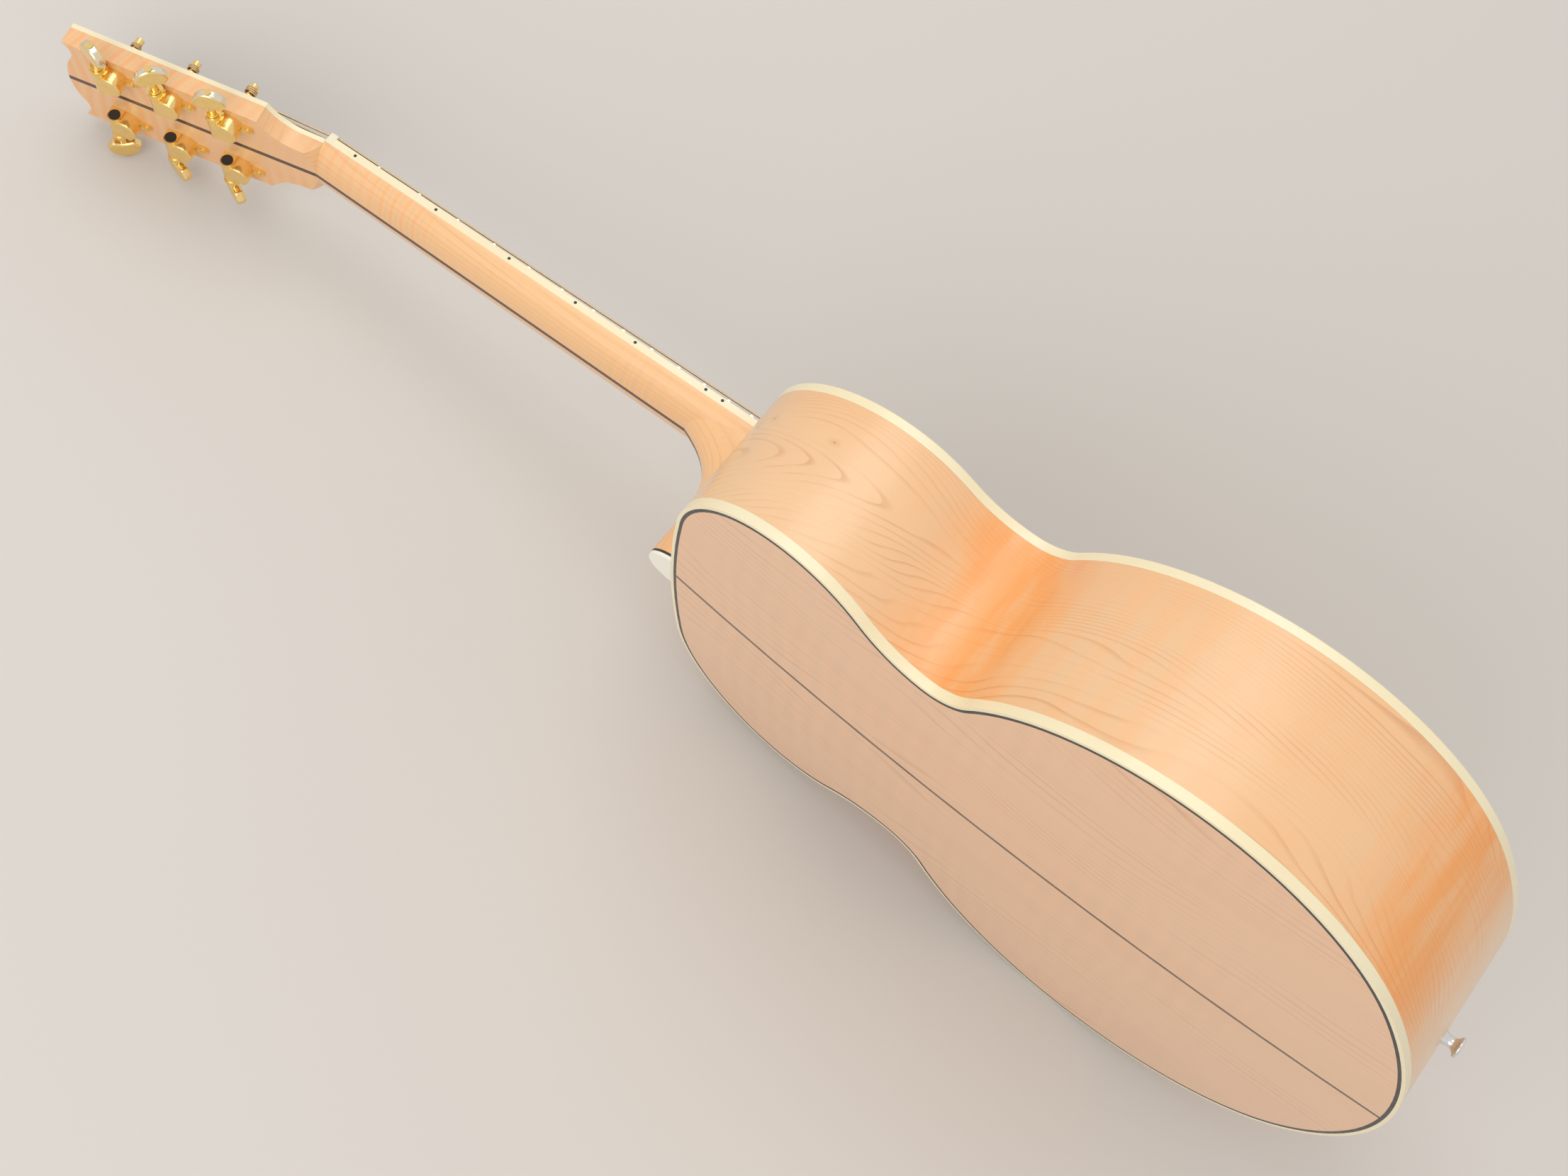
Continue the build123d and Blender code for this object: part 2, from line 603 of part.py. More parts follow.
def fret_wire(number):
    """One crowned fret, bent to the fretboard's radius."""
    x = fret_x(number)
    spread = degrees(asin((half_width(x) - 0.4) / BOARD_R))
    arc = ThreePointArc((-FRET_W / 2, 0), (0, FRET_H), (FRET_W / 2, 0))
    profile = Plane.XZ * Pos(0, BOARD_R) * make_face([arc, Line((FRET_W / 2, 0), (-FRET_W / 2, 0))])
    wire = Rot(-spread, 0, 0) * revolve(profile, Axis.X, 2 * spread)
    return Pos(x, 0, BOARD_T - BOARD_R) * wire


def frets():
    return Compound(children=[fret_wire(n) for n in range(1, FRET_COUNT + 1)])


def nut():
    """The bone nut, with a slot for each string."""
    height = STRING_NUT_Z + NUT_CROWN
    block = Pos(NUT_X, 0, 0) * Box(NUT_T, BOARD_NUT_W, height, align=(Align.MIN, Align.CENTER, Align.MIN))
    slope = Pos(NUT_X + NUT_T * NUT_FLAT, 0, height) * Rot(0, HEAD_ANGLE, 0) * Box(FAR, FAR, DEEP, align=LOW)
    rounding = crown(height - BOARD_T)
    return ((block - slope) & rounding) - string_tubes(NUT_SLOT_FIT)


# ---------------------------------------------------------------- bridge and strings
def bridge_plan():
    """The bridge's outline: straight front, swelling behind the pins."""
    front, half = SADDLE_X + BRIDGE_L * BRIDGE_FRONT, BRIDGE_W / 2
    wing, swell = front - BRIDGE_L * BRIDGE_WING, half * BRIDGE_BELLY
    belly = ThreePointArc((wing, swell), (front - BRIDGE_L, 0), (wing, -swell))
    rest = Polyline((wing, -swell), (wing, -half), (front, -half), (front, half), (wing, half), (wing, swell))
    return make_face([belly, *rest.edges()])


def saddle_slot(height, clearance=0.0):
    turn = Pos(SADDLE_X, 0, BRIDGE_T - SADDLE_SLOT) * Rot(0, 0, -SADDLE_SLANT)
    return turn * Box(SADDLE_W + clearance, SADDLE_L + clearance, height, align=LOW)


def bridge():
    block = extrude(bridge_plan(), BRIDGE_T, dir=(0, 0, 1))
    top = block.faces().sort_by(Axis.Z)[-1]
    block = chamfer(top.edges(), BRIDGE_T * BRIDGE_BEVEL)
    return block - saddle_slot(DEEP) - pin_holes() - string_tubes(GAP)


def saddle():
    crowned = Pos(0, 0, SADDLE_TOP - BOARD_R) * Rot(0, 90, 0) * Cylinder(BOARD_R, 2 * FAR)
    return (saddle_slot(SADDLE_SLOT + SADDLE_T) & crowned) - string_tubes(SADDLE_NOTCH_GAP)


def bridge_pins():
    """Tapered pins with round heads."""
    shank = Pos(0, 0, BRIDGE_T) * Cylinder(PIN_R, PIN_LENGTH, align=HIGH)
    head = Pos(0, 0, BRIDGE_T) * Cylinder(PIN_HEAD_R, PIN_R * 0.5, align=LOW)
    dome_top = Pos(0, 0, BRIDGE_T + PIN_R * 0.5) * Sphere(PIN_HEAD_R * 0.8)
    keep = Pos(0, 0, BRIDGE_T) * Cylinder(PIN_HEAD_R, 2 * PIN_HEAD_R, align=LOW)
    pin = shank + head + (dome_top & keep)
    return Compound(children=[Pos(x, y, 0) * pin for x, y in pin_places()])


def string_route(string):
    """The corners of one string: pin hole, bridge, saddle, nut and post."""
    r = STRING_R[string]
    at_saddle, at_nut = (string_y(string, s) for s in (STRING_SPREAD_SADDLE, STRING_SPREAD_NUT))
    saddle_x = SADDLE_X + at_saddle * sin(radians(SADDLE_SLANT))
    entry_x = PIN_X + PIN_HEAD_R + GAP + r
    place, side, _ = TUNERS[string]
    post_v = side * (POST_V - POST_R - GAP - 2 * r)
    end = (HEAD * Pos(FIRST_POST + place * POST_SPACING, post_v, VENEER_T + BUSHING_NUT_T + WRAP_RISE)).position
    return [Vector(entry_x, at_saddle, TOP_T), Vector(entry_x, at_saddle, BRIDGE_T + r),
            Vector(saddle_x, at_saddle, SADDLE_TOP - crown_z(at_saddle) + r),
            Vector(NUT_X, at_nut, STRING_NUT_Z - crown_z(at_nut) + r), Vector(end.X, end.Y, end.Z)]


def rod_between(start, end, radius):
    """A round rod from one point to another."""
    return Plane(origin=start, z_dir=end - start) * Cylinder(radius, (end - start).length, align=LOW)


def string_tube(string, clearance=0.0):
    """One string as straight runs joined by balls."""
    route = string_route(string)
    r = STRING_R[string] + clearance
    first, *others = [rod_between(a, b, r) for a, b in zip(route, route[1:])]
    return first + others + [Pos(p.X, p.Y, p.Z) * Sphere(r) for p in route[1:-1]]


def string_tubes(clearance):
    return [string_tube(s, clearance) for s in STRING_R]


def strings():
    return Compound(children=string_tubes(0))


def pickguard():
    """A drop-shaped guard on the treble side of the soundhole."""
    gap = HOLE_R + ROSETTE_IN + ROSETTE_W + GUARD_GAP
    disc = Pos(HOLE_X, 0) * Circle(gap)
    wide = Pos(HOLE_X - gap * 0.30, -gap * 0.62) * Circle(gap * 0.98)
    horn = Pos(HOLE_X - gap * 0.95, -gap * 1.05) * Circle(gap * 0.72)
    plan = (wide + horn) - disc
    treble = plan & Pos(HOLE_X, -FAR / 2) * Rectangle(FAR, FAR - 2 * string_y(5, STRING_SPREAD_SADDLE))
    clear_of_bridge = Pos(SADDLE_X + BRIDGE_L * BRIDGE_FRONT + GUARD_BRIDGE_GAP + FAR / 2, 0) * Rectangle(FAR, FAR)
    return extrude((treble & clear_of_bridge).faces().sort_by(SortBy.AREA)[-1], GUARD_T, dir=(0, 0, 1))


# ---------------------------------------------------------------- tuners
def tuner_place(string):
    """How a tuner built on the bass side at the post's foot is moved to its place."""
    place, side, _ = TUNERS[string]
    u = FIRST_POST + place * POST_SPACING

    def put(shape):
        shape = Pos(u, POST_V, 0) * shape
        return HEAD * (shape if side > 0 else mirror(shape, about=Plane.XZ))
    return put


def along_v(u, w, start, end, radius):
    """A round rod parallel to the worm, between two distances from the post."""
    return Pos(u, end, w) * Rot(90, 0, 0) * Cylinder(radius, end - start, align=LOW)


def bushing_bore(string):
    return tuner_place(string)(Cylinder(BUSHING_R, 4 * HEAD_T))


def ear_screw(string, gain):
    """The shank of the screw that holds a tuner's ear to the headstock."""
    shank = Cylinder(SCREW_R + gain, SCREW_L, align=LOW)
    return tuner_place(string)(Pos(-EAR_OUT, 0, -HEAD_T - PLATE_T) * shank)


def tuner_housing(string):
    """Drum, worm barrel, base plate and ear, hollow for the gear and the worm."""
    drum = Pos(0, 0, -HEAD_T) * Cylinder(DRUM_R, DRUM_H, align=HIGH)
    drum = fillet(drum.faces().sort_by(Axis.Z)[0].edges(), DRUM_ROUND)
    barrel = along_v(BARREL_OFFSET, BARREL_Z, -BARREL_IN, BARREL_OUT, BARREL_R)
    flange = along_v(BARREL_OFFSET, BARREL_Z, BARREL_OUT - FLANGE_T, BARREL_OUT, BARREL_R + FLANGE_GAIN)
    foot_out = BARREL_OUT - FLANGE_T
    foot = Pos(BARREL_OFFSET, (foot_out - BARREL_IN) / 2, -HEAD_T) * Box(
        2 * BARREL_R, BARREL_IN + foot_out, BARREL_W, align=HIGH)
    ear = Pos(-EAR_OUT, 0, -HEAD_T) * Cylinder(EAR_R, PLATE_T, align=HIGH)
    web = Pos(-EAR_OUT / 2, 0, -HEAD_T) * Box(EAR_OUT, 2 * EAR_R, PLATE_T, align=HIGH)
    shell = drum + [barrel, flange, foot, ear, web]
    gear_room = Pos(0, 0, BARREL_Z) * Cylinder(GEAR_R + GAP, GEAR_T + 2 * GAP)
    post_room = Pos(0, 0, BARREL_Z) * Cylinder(POST_R + FIT, DRUM_H, align=LOW)
    worm_room = along_v(BARREL_OFFSET, BARREL_Z, -BARREL_IN, BARREL_OUT, JOURNAL_R + FIT)
    plug_seat = along_v(BARREL_OFFSET, BARREL_Z, -BARREL_IN, -BARREL_IN + PLUG_T, PLUG_R)
    shell -= [gear_room, post_room, worm_room, plug_seat]
    return tuner_place(string)(shell) - ear_screw(string, 0)


def tuner_plug(string):
    """The black plug in the inner end of the worm barrel."""
    plug = along_v(BARREL_OFFSET, BARREL_Z, -BARREL_IN - PLUG_PROUD, -BARREL_IN + PLUG_T, PLUG_R)
    return tuner_place(string)(plug)


def tuner_bushing(string):
    """The threaded tube that holds the tuner from the front, with its hexagonal head."""
    tube = Pos(0, 0, -HEAD_T) * Cylinder(BUSHING_R, HEAD_T + VENEER_T, align=LOW)
    hexagon = Pos(0, 0, VENEER_T) * extrude(RegularPolygon(BUSHING_NUT / 2, 6), BUSHING_NUT_T, dir=(0, 0, 1))
    washer = Pos(0, 0, VENEER_T) * Cylinder(BUSHING_NUT / 2 + WASHER_GAIN, WASHER_T, align=LOW)
    bore = Cylinder(POST_R + FIT, 8 * HEAD_T)
    return tuner_place(string)((tube + hexagon + washer) - bore)


def tuner_screw(string):
    head = Pos(-EAR_OUT, 0, -HEAD_T - PLATE_T) * Cylinder(SCREW_HEAD_R, SCREW_HEAD_T, align=HIGH)
    slot = Box(2 * SCREW_HEAD_R, SCREW_SLOT_W, 2 * SCREW_SLOT_DEPTH)
    head -= Pos(-EAR_OUT, 0, -HEAD_T - PLATE_T - SCREW_HEAD_T) * slot
    return tuner_place(string)(head) + ear_screw(string, 0)


def post(string):
    """String post, turned slimmer at the string's hole, with its gear."""
    stem_low = BARREL_Z - GEAR_T / 2
    stem = Pos(0, 0, stem_low) * Cylinder(POST_R, POST_TOP - stem_low, align=LOW)
    hole_w = VENEER_T + BUSHING_NUT_T + EYE_RISE
    groove = Pos(0, 0, hole_w) * (Cylinder(POST_R, GROOVE_L) - Cylinder(POST_R - GROOVE_DEPTH, GROOVE_L))
    gear = Pos(0, 0, BARREL_Z) * Cylinder(GEAR_R, GEAR_T)
    notch = Pos(GEAR_R, 0, BARREL_Z) * Box(GEAR_NOTCH, pi * GEAR_R / GEAR_TEETH, 2 * GEAR_T)
    notches = [Rot(0, 0, 360 / GEAR_TEETH * i) * notch for i in range(GEAR_TEETH)]
    eye = Pos(0, 0, hole_w) * Rot(90, 0, 0) * Cylinder(EYE_R, 4 * POST_R)
    return tuner_place(string)((stem - groove - eye) + (gear - notches))


def button_axis_place(shape):
    """From the button's own axes to the barrel's axis, beside the post."""
    return Pos(BARREL_OFFSET, BUTTON_V - POST_V, BARREL_Z) * shape


def worm(string):
    """Worm, journal, collar, stem and end screw, one turned piece."""
    start = -BARREL_IN + PLUG_T + GAP
    shaft = along_v(BARREL_OFFSET, BARREL_Z, start, POST_R + 2 * WORM_R, WORM_R)
    journal = along_v(BARREL_OFFSET, BARREL_Z, POST_R + 2 * WORM_R, BARREL_OUT + GAP, JOURNAL_R)
    collar_at = BARREL_OUT + GAP
    collar = along_v(BARREL_OFFSET, BARREL_Z, collar_at, collar_at + COLLAR_T, COLLAR_R)
    stem_end = BUTTON_V - POST_V + BUTTON_L
    core_at = stem_end - BUTTON_L * BUTTON_CORE
    stem = along_v(BARREL_OFFSET, BARREL_Z, collar_at + COLLAR_T, core_at, STEM_R)
    core = along_v(BARREL_OFFSET, BARREL_Z, core_at, stem_end, STEM_R / 2)
    screw = along_v(BARREL_OFFSET, BARREL_Z, stem_end, stem_end + BUTTON_SCREW_T, BUTTON_SCREW_R)
    return tuner_place(string)(shaft + [journal, collar, stem, core, screw])


def button_blank():
    """The kidney-shaped knob around its own axis, before its bore."""
    half, shoulder, neck = BUTTON_W / 2, BUTTON_L * BUTTON_SHOULDER, BUTTON_W / 2 * BUTTON_NECK
    outer = ThreePointArc((-half, shoulder), (0, BUTTON_L), (half, shoulder))
    inner = ThreePointArc((-neck, 0), (0, BUTTON_L * BUTTON_DISH), (neck, 0))
    sides = [Line((-half, shoulder), (-neck, 0)), Line((half, shoulder), (neck, 0))]
    plan = fillet(make_face([outer, inner, *sides]).vertices(), BUTTON_ROUND)
    knob = Pos(0, 0, -BUTTON_T / 2) * extrude(plan, BUTTON_T, dir=(0, 0, 1))
    flats = knob.faces().filter_by(Axis.Z)
    return fillet(flats.edges(), BUTTON_ROUND)


def button(string):
    turn = TUNERS[string][2]
    knob = button_axis_place(Rot(0, turn, 0) * button_blank())
    return tuner_place(string)(knob) - worm(string)


def each_tuner(make):
    """The same fixed piece of every tuner, as one node."""
    return Compound(children=[make(s) for s in TUNERS])


# ---------------------------------------------------------------- strap button
def strap_axis():
    """From a frame whose z points out of the tail to the strap button's place."""
    return Pos(0, 0, -TAIL_DEPTH / 2) * Rot(0, -90, 0)


def strap_screw_hole():
    return strap_axis() * Pos(0, 0, -STRAP_SCREW_L) * Cylinder(STRAP_SCREW_R, STRAP_SCREW_L + STRAP_L, align=LOW)


def strap_button():
    """The turned strap button and its screw."""
    base, neck, rim_r, long = STRAP_BASE_R, STRAP_NECK_R, STRAP_RIM_R, STRAP_L
    cup = rim_r * STRAP_CUP
    side = Spline((base, 0), (neck, long * STRAP_NECK_AT), (cup, long * STRAP_CUP_AT), tangents=[(-0.6, 1), (1, 0.5)])
    lip = ThreePointArc((cup, long * STRAP_CUP_AT), (rim_r, long * STRAP_LIP_AT), (cup, long))
    flat = [Line((cup, long), (0, long)), Line((0, long), (0, 0)), Line((0, 0), (base, 0))]
    knob = revolve(Plane.XZ * make_face([side, lip, *flat]), Axis.Z, 360)
    seat = Pos(0, 0, long) * Cylinder(STRAP_SCREW_R * 2, STRAP_SEAT, align=HIGH)
    head = Pos(0, 0, long - STRAP_SEAT) * Cylinder(STRAP_SCREW_R * 2, STRAP_HEAD_T, align=LOW)
    cross = Box(STRAP_CROSS_L, STRAP_CROSS_W, STRAP_CROSS_H) + Box(STRAP_CROSS_W, STRAP_CROSS_L, STRAP_CROSS_H)
    slot = Pos(0, 0, long - STRAP_SEAT + STRAP_HEAD_T) * cross
    shank = Pos(0, 0, -STRAP_SCREW_L) * Cylinder(
        STRAP_SCREW_R, STRAP_SCREW_L + long - STRAP_SEAT, align=LOW)
    return strap_axis() * Compound(children=[knob - seat - shank, (head - slot) + shank])


# ---------------------------------------------------------------- assembly
def rest_tilt():
    """How far the floor line, tangent to the lower bout and under every button, is turned."""
    lower = complex(LOWER_AT, LOWER_R - LOWER_BOUT / 2)
    tilts = []
    for place, side, _ in TUNERS.values():
        if side < 0:
            u = FIRST_POST + place * POST_SPACING + BARREL_OFFSET
            end = (HEAD * Pos(u, -BUTTON_END, BARREL_Z)).position
            away = lower - complex(end.X, end.Y)
            tilts.append(degrees(atan2(away.imag, away.real) % (2 * pi) + asin(LOWER_R / abs(away))) - 180)
    return min(tilts)


def neck_parts():
    """The neck's two maple halves and the dark strip between them."""
    wood = neck_wood()
    strip = middle(NECK_STRIP_W)
    return {"neck_bass": (wood & half_space(1)) - strip, "neck_treble": (wood & half_space(-1)) - strip,
            "neck_strip": wood & strip}


def nodes():
    """Every piece of the guitar by node name, in the guitar's axes."""
    parts = {
        "soundboard": soundboard(), "back_bass": back_half(1), "back_treble": back_half(-1),
        "back_centre_strip": back_centre_strip(), "rib_bass": rib(1), "rib_treble": rib(-1),
        "top_binding": top_binding(), "back_binding": back_binding(), "top_purfling": top_purfling(),
        "back_purfling": back_purfling(), "linings": linings(), "neck_block": neck_block(),
        "tail_block": tail_block(), "top_braces": top_braces(), "back_braces": back_braces(),
        "rosette": rosette(), "pickguard": pickguard(), "bridge": bridge(), "saddle": saddle(),
        "bridge_pins": bridge_pins(), "strings": strings(), "nut": nut(), "fretboard": fretboard(),
        "frets": frets(), "fret_inlays": fret_inlays(), "side_dots": side_dots(),
        "board_binding": board_binding(), "heel_cap": heel_cap(), "heel_ply": heel_ply(),
        "head_veneer": head_veneer(), "head_binding": head_binding(), "truss_rod": truss_rod(),
        "truss_cover": truss_cover(), "strap_button": strap_button(),
        "tuner_housings": each_tuner(tuner_housing), "tuner_plugs": each_tuner(tuner_plug),
        "tuner_bushings": each_tuner(tuner_bushing), "tuner_screws": each_tuner(tuner_screw),
    }
    parts.update(neck_parts())
    for string in TUNERS:
        parts[f"button_{string}"] = button(string)
        parts[f"worm_{string}"] = worm(string)
        parts[f"post_{string}"] = post(string)
    return parts


def main():
    os.makedirs("parts", exist_ok=True)
    parts = nodes()
    turn = Rot(90, 0, 0) * Rot(0, 0, -rest_tilt())
    box = Compound(children=[turn * shape for shape in parts.values()]).bounding_box()
    shift = Pos(-box.center().X, -box.center().Y, -box.min.Z)
    for name, shape in parts.items():
        export_step(shift * turn * shape, f"parts/{name}.step")
    print(f"tilt {rest_tilt():.4f} shift {tuple(round(v, 4) for v in shift.position)} nodes {len(parts)}")


if __name__ == "__main__":
    main()
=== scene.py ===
"""Looks of a natural maple jumbo guitar that lies on its treble rim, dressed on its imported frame.

Lengths are metres in the frame's axes.  Most pieces are worked out in the guitar's own axes, which
Axes.of_guitar reads from the frame: along runs from the tail to the head, across towards the bass
side and out away from the soundboard.  Sub-assemblies are classes whose fields are their sizes, and
finishes are frozen dataclasses that build one material each.
"""

import json
import logging
import math
from dataclasses import dataclass, replace
from enum import Enum
from functools import lru_cache, partial, reduce
from typing import Callable, Sequence, Union

import bmesh
import bpy
import numpy as np
from mathutils import Matrix, Vector


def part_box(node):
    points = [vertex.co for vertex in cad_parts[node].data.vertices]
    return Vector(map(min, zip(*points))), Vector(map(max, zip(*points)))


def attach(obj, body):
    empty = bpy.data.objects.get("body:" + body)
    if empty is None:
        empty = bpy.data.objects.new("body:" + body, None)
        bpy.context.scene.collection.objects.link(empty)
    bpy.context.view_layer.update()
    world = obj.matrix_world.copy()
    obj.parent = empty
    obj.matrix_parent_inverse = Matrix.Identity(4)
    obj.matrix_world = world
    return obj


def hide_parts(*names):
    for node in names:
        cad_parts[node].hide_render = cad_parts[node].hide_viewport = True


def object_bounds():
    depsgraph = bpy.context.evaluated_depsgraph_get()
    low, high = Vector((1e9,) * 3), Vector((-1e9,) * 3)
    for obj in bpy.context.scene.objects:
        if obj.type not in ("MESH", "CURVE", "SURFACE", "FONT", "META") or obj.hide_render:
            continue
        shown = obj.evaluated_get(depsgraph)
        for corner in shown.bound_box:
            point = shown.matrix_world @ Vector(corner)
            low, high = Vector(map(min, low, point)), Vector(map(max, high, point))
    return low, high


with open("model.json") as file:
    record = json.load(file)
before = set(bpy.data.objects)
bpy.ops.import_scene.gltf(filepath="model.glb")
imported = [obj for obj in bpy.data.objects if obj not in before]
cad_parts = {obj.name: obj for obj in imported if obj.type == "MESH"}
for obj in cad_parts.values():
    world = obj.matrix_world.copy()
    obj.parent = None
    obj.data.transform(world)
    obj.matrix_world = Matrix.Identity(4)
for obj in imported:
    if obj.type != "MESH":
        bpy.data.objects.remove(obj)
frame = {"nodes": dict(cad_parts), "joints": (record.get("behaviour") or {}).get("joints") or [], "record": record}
CAD_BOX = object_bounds()

NODES: dict[str, bpy.types.Object] = frame["nodes"]
JOINTS = {joint["name"]: joint for joint in frame["joints"]}
BODY_OF = {node: body for body, members in frame["record"]["behaviour"]["bodies"].items() for node in members}

Colour = tuple[float, float, float]
Place = tuple[float, float, float]
Node = bpy.types.Node
Socket = bpy.types.NodeSocket
Sockets = bpy.types.bpy_prop_collection
Faces = list[bmesh.types.BMFace]
Feed = Union[Socket, float, Sequence[float]]

log = logging.getLogger("guitar")


# ---------------------------------------------------------------------------------------- axes


@dataclass(frozen=True)
class Axes:
    """A right-handed set of axes in the frame.

    Attributes:
        origin: where the axes start.
        along: the first axis, from the tail to the head.
        across: the second axis, towards the bass side.
        out: the third axis, away from the front.
    """

    origin: Vector
    along: Vector
    across: Vector
    out: Vector

    @classmethod
    def of_guitar(cls) -> "Axes":
        """Returns the body's axes: the tail end is along 0, the middle across 0 and the soundboard's face out 0."""
        across, out = Vector(JOINTS["button_spin_6"]["axis"]).normalized(), Vector((0, -1, 0))
        along = across.cross(out)
        ribs = np.vstack([points_of("rib_bass"), points_of("rib_treble")])
        widths = ribs @ np.array(across)
        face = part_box("soundboard")[0].y
        start = along * float((ribs @ np.array(along)).min()) + across * float(widths.max() + widths.min()) / 2
        return cls(Vector((start.x, face, start.z)), along, across, out)

    @classmethod
    def of_head(cls, guitar: "Axes") -> "Axes":
        """Returns the headstock's axes, which start behind the nut on its front face.

        Args:
            guitar: the body's axes.
        """
        out = Vector(JOINTS["post_spin_6"]["axis"]).normalized()
        nut_back = float(guitar.read(points_of("nut"))[:, 0].max())
        return cls(guitar.place(nut_back, 0, 0), guitar.across.cross(out), guitar.across, out)

    def turn(self) -> Matrix:
        """Returns the 3x3 rotation from these axes to the frame."""
        return Matrix((self.along, self.across, self.out)).transposed()

    def place(self, along: float, across: float, out: float) -> Vector:
        """Returns the frame's point at a place in these axes."""
        return self.origin + self.turn() @ Vector((along, across, out))

    def read(self, points: np.ndarray) -> np.ndarray:
        """Returns frame points, one a row, as places in these axes."""
        return (points - np.array(self.origin)) @ np.array(self.turn())


def points_of(node: str) -> np.ndarray:
    """Returns a CAD node's vertices, one a row."""
    vertices = NODES[node].data.vertices
    flat = np.empty(len(vertices) * 3)
    vertices.foreach_get("co", flat)
    return flat.reshape(-1, 3)


GUITAR = Axes.of_guitar()
HEAD = Axes.of_head(GUITAR)


# ------------------------------------------------------------------------------------- wiring


class Blend(Enum):
    """How one colour is laid on another."""

    COVER = "MIX"
    MULTIPLY = "MULTIPLY"
    OVERLAY = "OVERLAY"


@dataclass
class Wiring:
    """A shader tree with short calls for the nodes that the finishes use.

    Attributes:
        tree: the node tree that the nodes are added to.
    """

    tree: bpy.types.NodeTree

    def feed(self, socket: Socket, value: Feed) -> None:
        """Links a socket, or sets its value where the feed is a number or a list."""
        if isinstance(value, Socket):
            self.tree.links.new(value, socket)
        elif socket.type == "RGBA" and len(value) == 3:
            socket.default_value = (*value, 1.0)
        else:
            socket.default_value = value

    def settle(self, node: Node, **feeds: Feed) -> Node:
        """Returns a node with its inputs fed by name; an underscore in a name stands for a space."""
        for name, value in feeds.items():
            self.feed(node.inputs[name.replace("_", " ")], value)
        return node

    def node(self, kind: str, *values: Feed, **settings: object) -> Node:
        """Returns a new node of the kind, with its settings made and its inputs fed in order."""
        node = self.tree.nodes.new(kind)
        for name, value in settings.items():
            setattr(node, name, value)
        for socket, value in zip(node.inputs, values):
            self.feed(socket, value)
        return node

    def math(self, operation: str, *values: Feed, clamp: bool = False) -> Socket:
        """Returns the result of a Math node on one to three values."""
        return self.node("ShaderNodeMath", *values, operation=operation, use_clamp=clamp).outputs[0]

    def plus(self, *values: Feed) -> Socket:
        """Returns the values' sum."""
        return reduce(partial(self.math, "ADD"), values)

    def times(self, *values: Feed) -> Socket:
        """Returns the values' product."""
        return reduce(partial(self.math, "MULTIPLY"), values)

    def less(self, value: Feed, taken: Feed) -> Socket:
        """Returns a value with another taken from it."""
        return self.math("SUBTRACT", value, taken)

    def vector(self, operation: str, *values: Feed) -> Socket:
        """Returns the vector that a Vector Math node gives."""
        return self.node("ShaderNodeVectorMath", *values, operation=operation).outputs[0]

    def measure(self, operation: str, *values: Feed) -> Socket:
        """Returns the number that a Vector Math node gives, such as a dot product or a length."""
        return self.node("ShaderNodeVectorMath", *values, operation=operation).outputs["Value"]

    def scaled(self, place: Feed, scale: Feed) -> Socket:
        """Returns a vector with each of its numbers scaled."""
        return self.vector("MULTIPLY", place, scale)

    def parts(self, vector: Feed) -> list[Socket]:
        """Returns a vector's three numbers."""
        return list(self.node("ShaderNodeSeparateXYZ", vector).outputs)

    def join(self, *values: Feed) -> Socket:
        """Returns a vector of three numbers."""
        return self.node("ShaderNodeCombineXYZ", *values).outputs[0]

    def noise(self, place: Feed, scale: Feed, detail: float = 2.0, roughness: float = 0.5) -> Socket:
        """Returns the value of a noise texture."""
        node = self.node("ShaderNodeTexNoise")
        return self.settle(node, Vector=place, Scale=scale, Detail=detail, Roughness=roughness).outputs["Fac"]

    def span(self, value: Feed, low: Feed, high: Feed, to_low: Feed = 0.0, to_high: Feed = 1.0) -> Socket:
        """Returns a value carried smoothly from one range to another, and held at its ends."""
        feeds = (value, low, high, to_low, to_high)
        return self.node("ShaderNodeMapRange", *feeds, interpolation_type="SMOOTHSTEP").outputs[0]

    def mix(self, share: Feed, under: Feed, over: Feed, how: Blend = Blend.COVER) -> Socket:
        """Returns one colour laid on another by a share."""
        node = self.node("ShaderNodeMix", data_type="RGBA", blend_type=how.value)
        for number, feed in ((0, share), (6, under), (7, over)):
            self.feed(node.inputs[number], feed)
        return node.outputs[2]

    def group(self, tree: bpy.types.NodeTree, **feeds: Feed) -> Sockets:
        """Returns the outputs of a group node whose inputs are fed by name."""
        return self.settle(self.node("ShaderNodeGroup", node_tree=tree), **feeds).outputs


def new_group(
    name: str, colours: Sequence[str], numbers: Sequence[str], gives: Sequence[str]
) -> tuple[Wiring, Sockets, Node]:
    """Starts a shader node group that is given a place, colours and numbers.

    Args:
        name: the group's name.
        colours: the names of its colour inputs.
        numbers: the names of its number inputs.
        gives: the names of its outputs, which are numbers apart from Color.

    Returns:
        The group's wiring, what it is given, and its output node.
    """
    tree = bpy.data.node_groups.new(name, "ShaderNodeTree")
    inputs = {"Place": "Vector", **dict.fromkeys(colours, "Color"), **dict.fromkeys(numbers, "Float")}
    outputs = {label: "Color" if label == "Color" else "Float" for label in gives}
    for sockets, way in ((inputs, "INPUT"), (outputs, "OUTPUT")):
        for label, kind in sockets.items():
            tree.interface.new_socket(name=label, in_out=way, socket_type="NodeSocket" + kind)
    wiring = Wiring(tree)
    return wiring, wiring.node("NodeGroupInput").outputs, wiring.node("NodeGroupOutput")


